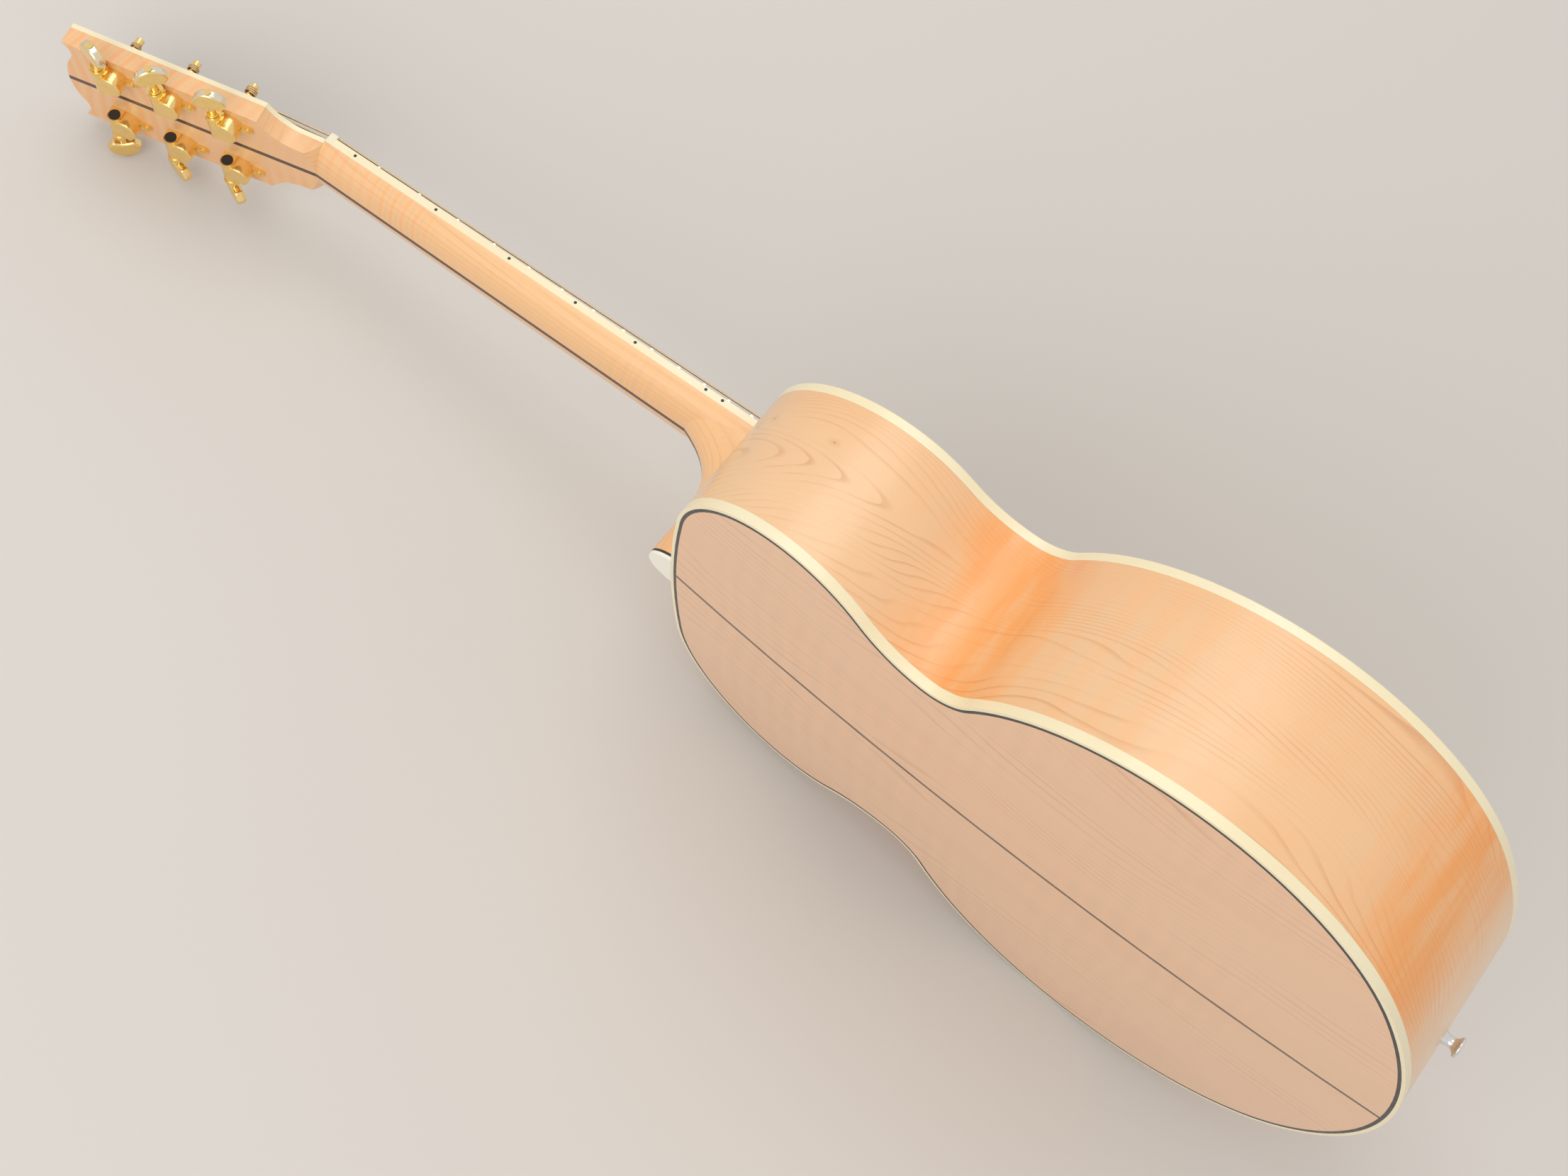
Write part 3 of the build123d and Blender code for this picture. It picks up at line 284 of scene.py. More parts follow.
@lru_cache(maxsize=None)
def maple_figure() -> bpy.types.NodeTree:
    """Returns the group that draws maple: growth lines with long loops, fibre, flecks and flame."""
    w, g, out = new_group(
        "maple_figure",
        ("Pale", "Line", "Warm"),
        ("Line Depth", "Line Pitch", "Wander", "Flame Pitch", "Flame Depth", "Warmth", "Seed"),
        ("Color", "Height"),
    )
    place = w.vector("ADD", g["Place"], w.join(g["Seed"], g["Seed"], g["Seed"]))
    along, across, _ = w.parts(place)
    long_way = w.scaled(place, (1.0, 5.0, 5.0))
    wander = w.times(w.noise(long_way, 2.6, 1.5), g["Wander"])
    ripple = w.times(w.noise(w.scaled(place, (1.0, 3.0, 3.0)), 30.0, 2.0), 0.0012)
    saw = w.math("FRACT", w.times(w.plus(ripple, w.plus(wander, across)), g["Line Pitch"]))
    fades = w.span(w.noise(long_way, 9.0, 3.0), 0.36, 0.68, 0.10, 1.0)
    line = w.times(w.span(saw, 0.0, 0.05), w.span(saw, 0.05, 0.34, 1.0, 0.0), fades, g["Line Depth"])
    fibre = w.noise(w.scaled(place, (0.02, 1.0, 1.0)), 1400.0, 2.0, 0.7)
    fleck = w.span(w.noise(w.scaled(place, (0.10, 1.0, 1.0)), 1900.0, 1.0), 0.66, 0.78)
    bend = w.noise(w.scaled(place, (1.0, 1.4, 1.4)), 7.0, 2.0)
    reach = w.plus(along, w.times(bend, 0.022))
    wave = w.math("SINE", w.times(reach, w.times(g["Flame Pitch"], 2 * math.pi)))
    patch = w.span(w.noise(w.scaled(place, (1.4, 1.0, 1.0)), 8.0, 1.0), 0.36, 0.66)
    flame = w.times(wave, patch, g["Flame Depth"])
    drift = w.span(w.noise(long_way, 1.6, 2.0), 0.30, 0.70)
    warm = w.math("MULTIPLY", g["Warmth"], w.span(w.plus(drift, flame), 0.0, 1.4), clamp=True)
    grey = w.plus(w.times(w.less(fibre, 0.5), 0.10), w.plus(w.times(flame, 0.07), 0.985))
    colour = w.mix(1.0, w.mix(warm, g["Pale"], g["Warm"]), w.join(grey, grey, grey), Blend.MULTIPLY)
    colour = w.mix(w.times(fleck, w.times(g["Line Depth"], 0.30)), colour, g["Line"], Blend.MULTIPLY)
    w.settle(
        out, Color=w.mix(line, colour, g["Line"], Blend.MULTIPLY),
        Height=w.plus(w.times(fibre, 0.12), w.times(flame, 0.6)),
    )
    return w.tree


@lru_cache(maxsize=None)
def lacquer_skin() -> bpy.types.NodeTree:
    """Returns the group that gives a lacquer its soft haze and rubbed patches, as a roughness and a mask."""
    w, g, out = new_group("lacquer_skin", (), ("Rough", "Rub"), ("Roughness", "Coat"))
    haze = w.less(w.noise(g["Place"], 14.0, 3.0), 0.5)
    rubbed = w.span(w.noise(g["Place"], 60.0, 4.0, 0.7), 0.5, 0.8)
    half_rub = w.times(g["Rub"], 0.5)
    rough = w.plus(g["Rough"], w.times(haze, half_rub), w.times(rubbed, half_rub))
    w.settle(out, Roughness=rough, Coat=w.less(1.0, w.times(rubbed, g["Rub"])))
    return w.tree


@lru_cache(maxsize=None)
def handled_plastic() -> bpy.types.NodeTree:
    """Returns the group for moulded trim: a slow change of shade, fine specks and a worn gloss."""
    w, g, out = new_group("handled_plastic", ("Base", "Aged"), ("Age", "Rough"), ("Color", "Roughness", "Height"))
    slow = w.span(w.noise(g["Place"], 11.0, 3.0), 0.32, 0.70)
    grain = w.noise(w.scaled(g["Place"], (0.15, 1.0, 1.0)), 700.0, 2.0)
    share = w.times(g["Age"], w.plus(w.times(slow, 0.75), w.times(grain, 0.25)))
    worn = w.span(w.noise(g["Place"], 90.0, 4.0, 0.7), 0.40, 0.80)
    w.settle(
        out, Color=w.mix(share, g["Base"], g["Aged"]), Roughness=w.plus(g["Rough"], w.times(worn, 0.16)),
        Height=w.plus(w.times(grain, 0.3), w.times(worn, 0.3)),
    )
    return w.tree


@lru_cache(maxsize=None)
def plated_metal() -> bpy.types.NodeTree:
    """Returns the group for plating: tarnish in patches, fine wipe marks and worn spots."""
    w, g, out = new_group("plated_metal", ("Clean", "Dull"), ("Tarnish", "Rough"), ("Color", "Roughness", "Height"))
    patch = w.span(w.noise(g["Place"], 170.0, 4.0, 0.65), 0.42, 0.72)
    specks = w.span(w.noise(g["Place"], 1500.0, 2.0), 0.62, 0.74)
    share = w.math("MULTIPLY", g["Tarnish"], w.math("MAXIMUM", patch, w.times(specks, 0.8)), clamp=True)
    wipes = w.noise(w.scaled(g["Place"], (1.0, 0.2, 1.0)), 2600.0, 2.0)
    w.settle(
        out, Color=w.mix(share, g["Clean"], g["Dull"]),
        Roughness=w.plus(w.times(w.plus(share, wipes), 0.10), g["Rough"]),
        Height=w.plus(w.times(wipes, 0.2), w.times(patch, 0.4)),
    )
    return w.tree


@lru_cache(maxsize=None)
def pored_wood() -> bpy.types.NodeTree:
    """Returns the group for open-pored or straight-grained wood: streaks, pores and fine rings."""
    w, g, out = new_group(
        "pored_wood", ("Base", "Dark"), ("Streak Pitch", "Pores", "Rough"), ("Color", "Roughness", "Height")
    )
    along, across, deep = w.parts(g["Place"])
    stretched = w.join(w.times(along, 0.06), across, deep)
    drift = w.noise(stretched, 30.0, 3.0)
    turned = w.plus(across, w.times(drift, 0.010), w.times(deep, 0.35))
    ring = w.math("FRACT", w.times(turned, g["Streak Pitch"]))
    late = w.times(w.span(ring, 0.35, 0.92), w.span(ring, 0.92, 1.0, 1.0, 0.0))
    pores = w.span(w.noise(stretched, 1500.0, 2.0, 0.6), 0.60, 0.74)
    pits = w.times(pores, g["Pores"])
    colour = w.mix(w.plus(w.times(late, 0.6), w.times(drift, 0.4)), g["Base"], g["Dark"])
    w.settle(
        out, Color=w.mix(pits, colour, g["Dark"], Blend.MULTIPLY), Roughness=w.plus(g["Rough"], w.times(pores, 0.2)),
        Height=w.less(w.times(late, 0.2), pits),
    )
    return w.tree


# ------------------------------------------------------------------------------------ finishes


class Lie(Enum):
    """Which way a finish's figure runs over a piece."""

    BODY = "the body's axes"
    BOOKMATCHED = "the body's axes, mirrored about the middle"
    HEADSTOCK = "the headstock's axes"
    RIB = "the rib's own run and rise, stored on its points"


RIB_PLACE = "rib_place"  # the point attribute that Lie.RIB reads
STRING_COUNT, PLAIN_COUNT = 6, 2  # the strings, and how many of the thinnest are plain steel
SCREW_INNER, SCREW_OUTER = 0.0021, 0.0025  # the radii between which the screw in a button's end fades out
SCREW_FROM = 0.80  # the share of a button's half length beyond which its screw shows


@dataclass(frozen=True)
class Finish:
    """One material of the guitar.

    Attributes:
        name: the material's name.
        lie: which way its figure runs.
    """

    name: str
    lie: Lie = Lie.BODY

    def place(self, w: Wiring) -> Socket:
        """Returns the coordinates that the figure is drawn in, in metres."""
        if self.lie is Lie.RIB:
            return w.node("ShaderNodeAttribute", attribute_name=RIB_PLACE).outputs["Vector"]
        axes = HEAD if self.lie is Lie.HEADSTOCK else GUITAR
        mapping = w.settle(
            w.node("ShaderNodeMapping", vector_type="TEXTURE"), Vector=w.node("ShaderNodeTexCoord").outputs["Object"],
            Location=axes.origin, Rotation=axes.turn().to_euler(),
        )
        placed = mapping.outputs["Vector"]
        return w.vector("ABSOLUTE", placed) if self.lie is Lie.BOOKMATCHED else placed

    def material(self) -> bpy.types.Material:
        """Returns the finish's material, built on first use."""
        return _material_of(self)

    def dress(self, w: Wiring, shader: Node, place: Socket) -> None:
        """Feeds the shader; each kind of finish has its own."""
        raise NotImplementedError

    def bump(self, w: Wiring, shader: Node, height: Feed, distance: float, strength: float = 0.5) -> None:
        """Feeds the shader's normal from a height in units of the distance."""
        bump = w.settle(w.node("ShaderNodeBump"), Strength=strength, Distance=distance, Height=height)
        w.feed(shader.inputs["Normal"], bump.outputs[0])


@lru_cache(maxsize=None)
def _material_of(finish: Finish) -> bpy.types.Material:
    """Builds a finish's material.

    Args:
        finish: the finish.

    Returns:
        The new material.
    """
    material = bpy.data.materials.new(finish.name)
    material.use_nodes = True
    tree = material.node_tree
    tree.nodes.clear()
    w = Wiring(tree)
    shader, output = w.node("ShaderNodeBsdfPrincipled"), w.node("ShaderNodeOutputMaterial")
    w.feed(output.inputs["Surface"], shader.outputs[0])
    finish.dress(w, shader, finish.place(w))
    return material


@dataclass(frozen=True)
class Maple(Finish):
    """Lacquered maple.

    Attributes:
        pale: the wood between its growth lines.
        line: what the growth lines multiply the wood by.
        warm: the deeper tone of its warm patches.
        line_depth: how dark the growth lines are.
        line_pitch: growth lines in a metre across the grain.
        wander: how far the growth lines stray from the grain, in metres.
        flame_pitch: flame bands in a metre along the grain.
        flame_depth: how strong the flame is.
        warmth: how much of the warm tone shows.
        seed: an offset in metres, so that no two pieces are cut from the same place.
        knots: run and rise of each pin knot, on a rib.
        glow: run and half width of each orange band, on a rib.
    """

    pale: Colour = (0.80, 0.53, 0.30)
    line: Colour = (0.62, 0.42, 0.27)
    warm: Colour = (0.78, 0.42, 0.17)
    line_depth: float = 0.55
    line_pitch: float = 240.0
    wander: float = 0.05
    flame_pitch: float = 75.0
    flame_depth: float = 0.35
    warmth: float = 0.35
    seed: float = 0.0
    knots: tuple[tuple[float, float], ...] = ()
    glow: tuple[tuple[float, float], ...] = ()

    def dress(self, w: Wiring, shader: Node, place: Socket) -> None:
        """Draws the figure, its knots and its orange bands under a gloss coat."""
        figure = w.group(
            maple_figure(), Place=place, Pale=self.pale, Line=self.line, Warm=self.warm, Line_Depth=self.line_depth,
            Line_Pitch=self.line_pitch, Wander=self.wander, Flame_Pitch=self.flame_pitch, Flame_Depth=self.flame_depth,
            Warmth=self.warmth, Seed=self.seed,
        )
        colour = figure["Color"]
        run = w.parts(place)[0]
        for centre, reach in self.glow:
            edge = w.plus(run, w.times(w.noise(place, 12.0, 3.0), reach * 0.9))
            streak = w.span(w.noise(w.scaled(place, (1.0, 0.22, 1.0)), 70.0, 3.0), 0.30, 0.68, 0.35, 1.0)
            off = w.math("ABSOLUTE", w.less(edge, centre + reach * 0.45))
            band = w.times(w.span(off, 0.0, reach * 1.4, 0.85, 0.0), streak)
            colour = w.mix(band, colour, self.warm, Blend.OVERLAY)
            colour = w.mix(w.times(band, 0.6), colour, self.warm)
        for knot_run, knot_rise in self.knots:
            apart = w.scaled(w.vector("SUBTRACT", place, (knot_run, knot_rise, 0.0)), (0.6, 1.0, 0.0))
            distance = w.measure("LENGTH", apart)
            colour = w.mix(w.span(distance, 0.0002, 0.0010, 0.65, 0.0), colour, (0.34, 0.14, 0.05))
            colour = w.mix(w.span(distance, 0.001, 0.0040, 0.30, 0.0), colour, (0.66, 0.34, 0.14))
        skin = w.group(lacquer_skin(), Place=place, Rough=0.42, Rub=0.12)
        w.settle(
            shader, Base_Color=colour, Roughness=skin["Roughness"], Coat_Weight=skin["Coat"], Coat_Roughness=0.26,
            Coat_IOR=1.5, Specular_IOR_Level=0.3,
        )
        self.bump(w, shader, figure["Height"], distance=0.0006, strength=0.35)


@dataclass(frozen=True)
class PlainWood(Finish):
    """Spruce, rosewood, mahogany or brace wood, in a gloss coat, oil or bare.

    Attributes:
        base: the early wood.
        dark: the late wood and the pores.
        streak_pitch: rings in a metre across the grain.
        pores: how deep the pores are.
        rough: the roughness of the bare surface.
        coat: the weight of the gloss coat.
    """

    base: Colour = (0.80, 0.62, 0.38)
    dark: Colour = (0.66, 0.45, 0.24)
    streak_pitch: float = 650.0
    pores: float = 0.2
    rough: float = 0.45
    coat: float = 0.0

    def dress(self, w: Wiring, shader: Node, place: Socket) -> None:
        """Draws the rings and pores."""
        wood = w.group(
            pored_wood(), Place=place, Base=self.base, Dark=self.dark, Streak_Pitch=self.streak_pitch,
            Pores=self.pores, Rough=self.rough,
        )
        w.settle(
            shader, Base_Color=wood["Color"], Roughness=wood["Roughness"], Coat_Weight=self.coat, Coat_Roughness=0.08
        )
        self.bump(w, shader, wood["Height"], distance=0.0002)


@dataclass(frozen=True)
class Plastic(Finish):
    """Moulded or cut trim: binding, caps, dots, pearl and bone.

    Attributes:
        base: its colour.
        aged: its yellowed or faded colour.
        age: how much of the aged colour shows.
        rough: its roughness where it isn't worn.
        glow: how much light passes through its skin.
        coat: the weight of a gloss coat.
    """

    base: Colour = (0.9, 0.8, 0.5)
    aged: Colour = (0.85, 0.7, 0.4)
    age: float = 0.5
    rough: float = 0.25
    glow: float = 0.0
    coat: float = 0.0

    def dress(self, w: Wiring, shader: Node, place: Socket) -> None:
        """Draws the aged plastic."""
        plastic = w.group(
            handled_plastic(), Place=place, Base=self.base, Aged=self.aged, Age=self.age, Rough=self.rough
        )
        w.settle(
            shader, Base_Color=plastic["Color"], Roughness=plastic["Roughness"], Subsurface_Weight=self.glow,
            Subsurface_Scale=0.002, Coat_Weight=self.coat, Coat_Roughness=0.24,
        )
        self.bump(w, shader, plastic["Height"], distance=0.00008)


@dataclass(frozen=True)
class Shell(Plastic):
    """Mottled sheet: pearl in pale cells or tortoise in dark blots.

    Attributes:
        cell: cells or blots in a metre.
        second: the colour of the other cells.
    """

    cell: float = 120.0
    second: Colour = (0.6, 0.7, 0.7)

    def dress(self, w: Wiring, shader: Node, place: Socket) -> None:
        """Draws the mottled sheet under its polish."""
        super().dress(w, shader, place)
        drawn = shader.inputs["Base Color"].links[0].from_socket
        pull = w.join(w.noise(place, self.cell, 2.0), w.noise(place, self.cell * 0.7, 2.0), 0.0)
        pulled = w.vector("ADD", place, w.scaled(pull, (0.02, 0.02, 0.02)))
        blot = w.span(w.noise(pulled, self.cell, 4.0, 0.6), 0.44, 0.58)
        w.feed(shader.inputs["Base Color"], w.mix(blot, drawn, self.second))


@dataclass(frozen=True)
class Metal(Finish):
    """Plated or bare metal.

    Attributes:
        clean: its bright colour.
        dull: its tarnished colour.
        tarnish: how much of it is tarnished.
        rough: its roughness where it is bright.
        wound: turns in a metre of a wound string, or 0.
    """

    clean: Colour = (0.95, 0.66, 0.22)
    dull: Colour = (0.70, 0.42, 0.12)
    tarnish: float = 0.4
    rough: float = 0.12
    wound: float = 0.0

    def dress(self, w: Wiring, shader: Node, place: Socket) -> None:
        """Draws the metal, with the turns of a wound string."""
        metal = w.group(
            plated_metal(), Place=place, Clean=self.clean, Dull=self.dull, Tarnish=self.tarnish, Rough=self.rough
        )
        w.settle(shader, Base_Color=metal["Color"], Roughness=metal["Roughness"], Metallic=1.0)
        height, depth = metal["Height"], 0.00005
        if self.wound:
            turns = w.math("SINE", w.times(w.parts(place)[0], self.wound * 2 * math.pi))
            height, depth = w.plus(turns, height), 0.0001
        self.bump(w, shader, height, depth)


@dataclass(frozen=True)
class PaintedReflectionButton(Metal):
    """A plated button with a painted silvery reflection of the bright room on its rim, and a dark screw in its end.

    Attributes:
        bare: the colour of the painted silvery reflection on the rim.
        centre: the button's middle, in the frame.
        flat: the way that its two flats face.
        spindle: the way from its shaft to its outer end.
        half: half its length along the spindle.
        reflection_share: how strongly the painted reflection covers the rim.
    """

    bare: Colour = (0.80, 0.79, 0.76)
    centre: Place = (0.0, 0.0, 0.0)
    flat: Place = (0.0, 0.0, 1.0)
    spindle: Place = (0.0, 1.0, 0.0)
    half: float = 0.008
    reflection_share: float = 0.8

    def dress(self, w: Wiring, shader: Node, place: Socket) -> None:
        """Draws the plate, the painted silvery reflection on the rim, and the screw."""
        super().dress(w, shader, place)
        plate = shader.inputs["Base Color"].links[0].from_socket
        given = w.node("ShaderNodeTexCoord").outputs
        facing = w.measure("DOT_PRODUCT", given["Normal"], self.flat)
        # painted reflection: the rim's sides, away from the flats, turn silvery in patches, standing in for the bright
        # room reflected there
        rim = w.span(w.math("ABSOLUTE", facing), 0.45, 0.92, 1.0, 0.0)
        rubbed = w.span(w.noise(place, 320.0, 3.0), 0.25, 0.60)
        colour = w.mix(w.times(rim, rubbed, self.reflection_share), plate, self.bare)
        from_middle = w.vector("SUBTRACT", given["Object"], self.centre)
        along, whole = w.measure("DOT_PRODUCT", from_middle, self.spindle), w.measure("LENGTH", from_middle)
        off = w.less(w.math("POWER", whole, 2.0), w.math("POWER", along, 2.0))
        near = w.span(off, SCREW_INNER**2, SCREW_OUTER**2, 1.0, 0.0)
        screw = w.times(near, w.math("GREATER_THAN", along, self.half * SCREW_FROM))
        w.feed(shader.inputs["Base Color"], w.mix(screw, colour, (0.16, 0.13, 0.10)))


@dataclass(frozen=True)
class LaidStrip(Finish):
    """A dark strip with a fine pale line down its middle.

    Attributes:
        edge: the colour of the strip's two sides.
        middle: the colour of its middle line.
        middle_half: half the middle line's width.
        coat: the weight of its gloss coat.
    """

    edge: Colour = (0.05, 0.03, 0.025)
    middle: Colour = (0.34, 0.22, 0.13)
    middle_half: float = 0.0004
    coat: float = 1.0

    def dress(self, w: Wiring, shader: Node, place: Socket) -> None:
        """Draws the strip by its distance from the guitar's middle."""
        wood = w.group(
            pored_wood(), Place=place, Base=self.edge, Dark=(0.02, 0.012, 0.01), Streak_Pitch=900.0, Pores=0.4,
            Rough=0.4,
        )
        away = w.math("ABSOLUTE", w.parts(place)[1])
        line = w.span(away, self.middle_half * 0.7, self.middle_half * 1.3, 1.0, 0.0)
        w.settle(
            shader, Base_Color=w.mix(line, wood["Color"], self.middle), Roughness=wood["Roughness"],
            Coat_Weight=self.coat, Coat_Roughness=0.10,
        )


@dataclass(frozen=True)
class Floor(Finish):
    """A plain pale floor with a faint unevenness of tone.

    Attributes:
        colour: the floor's colour.
    """

    colour: Colour = (0.65, 0.62, 0.585)

    def dress(self, w: Wiring, shader: Node, place: Socket) -> None:
        """Draws the floor."""
        tone = w.span(w.noise(place, 1.3, 2.0), 0.3, 0.7, 0.985, 1.0)
        colour = w.mix(1.0, self.colour, w.join(tone, tone, tone), Blend.MULTIPLY)
        w.settle(shader, Base_Color=colour, Roughness=0.75, Specular_IOR_Level=0.2)


BACK = Maple("back_maple", Lie.BOOKMATCHED, pale=(0.80, 0.495, 0.30), line=(0.74, 0.56, 0.44),
             warm=(0.82, 0.46, 0.26), line_depth=0.50, line_pitch=170.0, wander=0.085, flame_pitch=62.0,
             flame_depth=0.30, warmth=0.30, seed=0.31)
RIBS = Maple("rib_maple", Lie.RIB, pale=(0.85, 0.545, 0.30), line=(0.66, 0.44, 0.28), warm=(0.84, 0.33, 0.075),
             line_depth=0.46, line_pitch=210.0, wander=0.17, flame_pitch=42.0, flame_depth=0.26, warmth=0.30,
             seed=1.7)
NECK = Maple("neck_maple", Lie.BODY, pale=(0.87, 0.52, 0.25), warm=(0.78, 0.30, 0.09), line_depth=0.26,
             line_pitch=260.0, wander=0.02, flame_pitch=105.0, flame_depth=0.70, warmth=0.50, seed=2.9)
SPRUCE = PlainWood("spruce", base=(0.84, 0.62, 0.34), dark=(0.70, 0.45, 0.20), streak_pitch=750.0, pores=0.08,
                   rough=0.4, coat=1.0)
BRACE_SPRUCE = PlainWood("brace_spruce", base=(0.78, 0.60, 0.38), dark=(0.60, 0.42, 0.24), streak_pitch=600.0,
                         rough=0.7)
MAHOGANY = PlainWood("mahogany", base=(0.42, 0.20, 0.10), dark=(0.25, 0.10, 0.05), streak_pitch=300.0, pores=0.5,
                     rough=0.65)
ROSEWOOD = PlainWood("rosewood", base=(0.10, 0.045, 0.03), dark=(0.03, 0.014, 0.012), streak_pitch=420.0, pores=0.8,
                     rough=0.42)
BLACK_VENEER = PlainWood("black_veneer", Lie.HEADSTOCK, base=(0.03, 0.024, 0.022), dark=(0.012, 0.01, 0.01),
                         streak_pitch=500.0, pores=0.5, rough=0.4, coat=1.0)
CREAM = Plastic("cream_binding", base=(0.88, 0.79, 0.55), aged=(0.85, 0.71, 0.42), age=0.6, rough=0.30, glow=0.15,
                coat=0.6)
WHITE = Plastic("white_plastic", base=(0.87, 0.85, 0.77), aged=(0.83, 0.78, 0.62), age=0.5, rough=0.28, glow=0.1)
INLAY_WHITE = Plastic("inlay_white", base=(0.85, 0.82, 0.70), aged=(0.78, 0.70, 0.50), age=0.5, rough=0.3, coat=1.0)
INLAY_BLACK = Plastic("inlay_black", base=(0.02, 0.017, 0.015), aged=(0.04, 0.034, 0.03), age=0.5, rough=0.4,
                      coat=0.3)
BLACK = Plastic("black_plastic", base=(0.012, 0.012, 0.014), aged=(0.025, 0.025, 0.025), age=0.5, rough=0.35)
BONE = Plastic("bone", base=(0.84, 0.77, 0.58), aged=(0.76, 0.64, 0.42), age=0.6, rough=0.32, glow=0.2)
PEARL = Shell("pearl", base=(0.80, 0.82, 0.78), aged=(0.70, 0.76, 0.76), second=(0.62, 0.70, 0.74), cell=160.0,
              rough=0.15, coat=1.0)
TORTOISE = Shell("tortoise", base=(0.30, 0.09, 0.03), aged=(0.20, 0.05, 0.02), second=(0.04, 0.015, 0.01), cell=70.0,
                 rough=0.2, coat=1.0)
GOLD = Metal("gold_plate", clean=(0.97, 0.70, 0.27), dull=(0.80, 0.52, 0.20), tarnish=0.35, rough=0.12)
CHROME = Metal("chrome", clean=(0.80, 0.80, 0.80), dull=(0.55, 0.54, 0.52), tarnish=0.3, rough=0.08)
FRET_METAL = Metal("fret_metal", clean=(0.75, 0.75, 0.72), dull=(0.55, 0.53, 0.48), tarnish=0.4, rough=0.2)
WOUND = Metal("wound_bronze", clean=(0.90, 0.66, 0.36), dull=(0.66, 0.45, 0.24), tarnish=0.4, rough=0.28,
              wound=2200.0)
PLAIN_STRING = Metal("plain_steel", clean=(0.75, 0.75, 0.76), dull=(0.5, 0.5, 0.5), tarnish=0.3, rough=0.15)
STEEL = Metal("rod_steel", clean=(0.5, 0.5, 0.52), dull=(0.3, 0.28, 0.26), tarnish=0.6, rough=0.35)
BACK_STRIP = LaidStrip("back_strip", edge=(0.025, 0.015, 0.012), coat=0.3)
NECK_STRIP = LaidStrip("neck_strip", edge=(0.13, 0.05, 0.03), middle=(0.10, 0.04, 0.03), coat=0.3)
FLOOR = Floor("pale_floor")


# ---------------------------------------------------------------------------------- mesh tools


def put(name: str, data: bpy.types.ID) -> bpy.types.Object:
    """Returns a new object in the scene that shows the data."""
    obj = bpy.data.objects.new(name, data)
    bpy.context.scene.collection.objects.link(obj)
    return obj


def paint(finish: Finish, *nodes: str) -> None:
    """Gives CAD nodes, whose shapes are right as they are, a finish.

    Args:
        finish: the finish.
        nodes: the nodes' names.
    """
    for node in nodes:
        for slot in NODES[node].material_slots:
            slot.material = finish.material()
        log.info("dressed %s in %s", node, finish.name)


def add_piece(name: str, mesh: bpy.types.Mesh, body: str, replaced: Sequence[str] = ()) -> bpy.types.Object:
    """Puts a mesh in the scene as a piece.

    Args:
        name: the piece's name.
        mesh: its mesh, in the frame's axes and with its materials.
        body: the CAD body that it rides on.
        replaced: the CAD nodes that it stands for.

    Returns:
        The new object.
    """
    piece = put(name, mesh)
    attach(piece, body)
    if replaced:
        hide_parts(*replaced)
    log.info("built %s: %d faces", name, len(mesh.polygons))
    return piece


def welded(node: str) -> bmesh.types.BMesh:
    """Returns a copy of a CAD node's mesh with its split corners joined."""
    copy = bmesh.new()
    copy.from_mesh(NODES[node].data)
    bmesh.ops.remove_doubles(copy, verts=copy.verts, dist=1e-6)
    return copy


def plain_mesh(name: str, shape: bmesh.types.BMesh, finishes: Sequence[Finish], sharp: float = 30.0) -> bpy.types.Mesh:
    """Turns a bmesh into a mesh with smooth faces between its sharp edges.

    Args:
        name: the mesh's name.
        shape: the bmesh, which is freed.
        finishes: its materials, in the order of its faces' material numbers.
        sharp: the angle in degrees above which an edge stays sharp.

    Returns:
        The mesh.
    """
    shape.normal_update()
    layer = shape.loops.layers.float_vector.get("custom_normal")
    if layer:
        shape.loops.layers.float_vector.remove(layer)
    for face in shape.faces:
        face.smooth = True
    for edge in shape.edges:
        edge.smooth = len(edge.link_faces) == 2 and edge.calc_face_angle(0.0) < math.radians(sharp)
    mesh = bpy.data.meshes.new(name)
    shape.to_mesh(mesh)
    shape.free()
    if "custom_normal" in mesh.attributes:
        mesh.attributes.remove(mesh.attributes["custom_normal"])
    mesh.materials.clear()
    for finish in finishes:
        mesh.materials.append(finish.material())
    return mesh


def islands(shape: bmesh.types.BMesh) -> list[Faces]:
    """Returns the faces of each separate solid of a bmesh."""
    seen: set[bmesh.types.BMFace] = set()
    found = []
    for start in shape.faces:
        if start in seen:
            continue
        seen.add(start)
        stack, island = [start], []
        while stack:
            face = stack.pop()
            island.append(face)
            for edge in face.edges:
                for beside in edge.link_faces:
                    if beside not in seen:
                        seen.add(beside)
                        stack.append(beside)
        found.append(island)
    return found


def reach_of(island: Faces) -> float:
    """Returns the diagonal of a solid's box."""
    points = np.array([vertex.co for face in island for vertex in face.verts])
    return float(np.linalg.norm(points.max(0) - points.min(0)))


def lined(node: str, finishes: Sequence[Finish], key: Callable[[Faces], float] = reach_of) -> bpy.types.Object:
    """Copies a node of nested lines, each line in its own finish.

    Args:
        node: the CAD node, one solid a line.
        finishes: the finishes, repeated in order.
        key: what the lines are put in order by.

    Returns:
        The piece that replaces the node.
    """
    shape = welded(node)
    for number, island in enumerate(sorted(islands(shape), key=key)):
        for face in island:
            face.material_index = number % len(finishes)
    return add_piece(node + "_lines", plain_mesh(node, shape, finishes), BODY_OF[node], (node,))


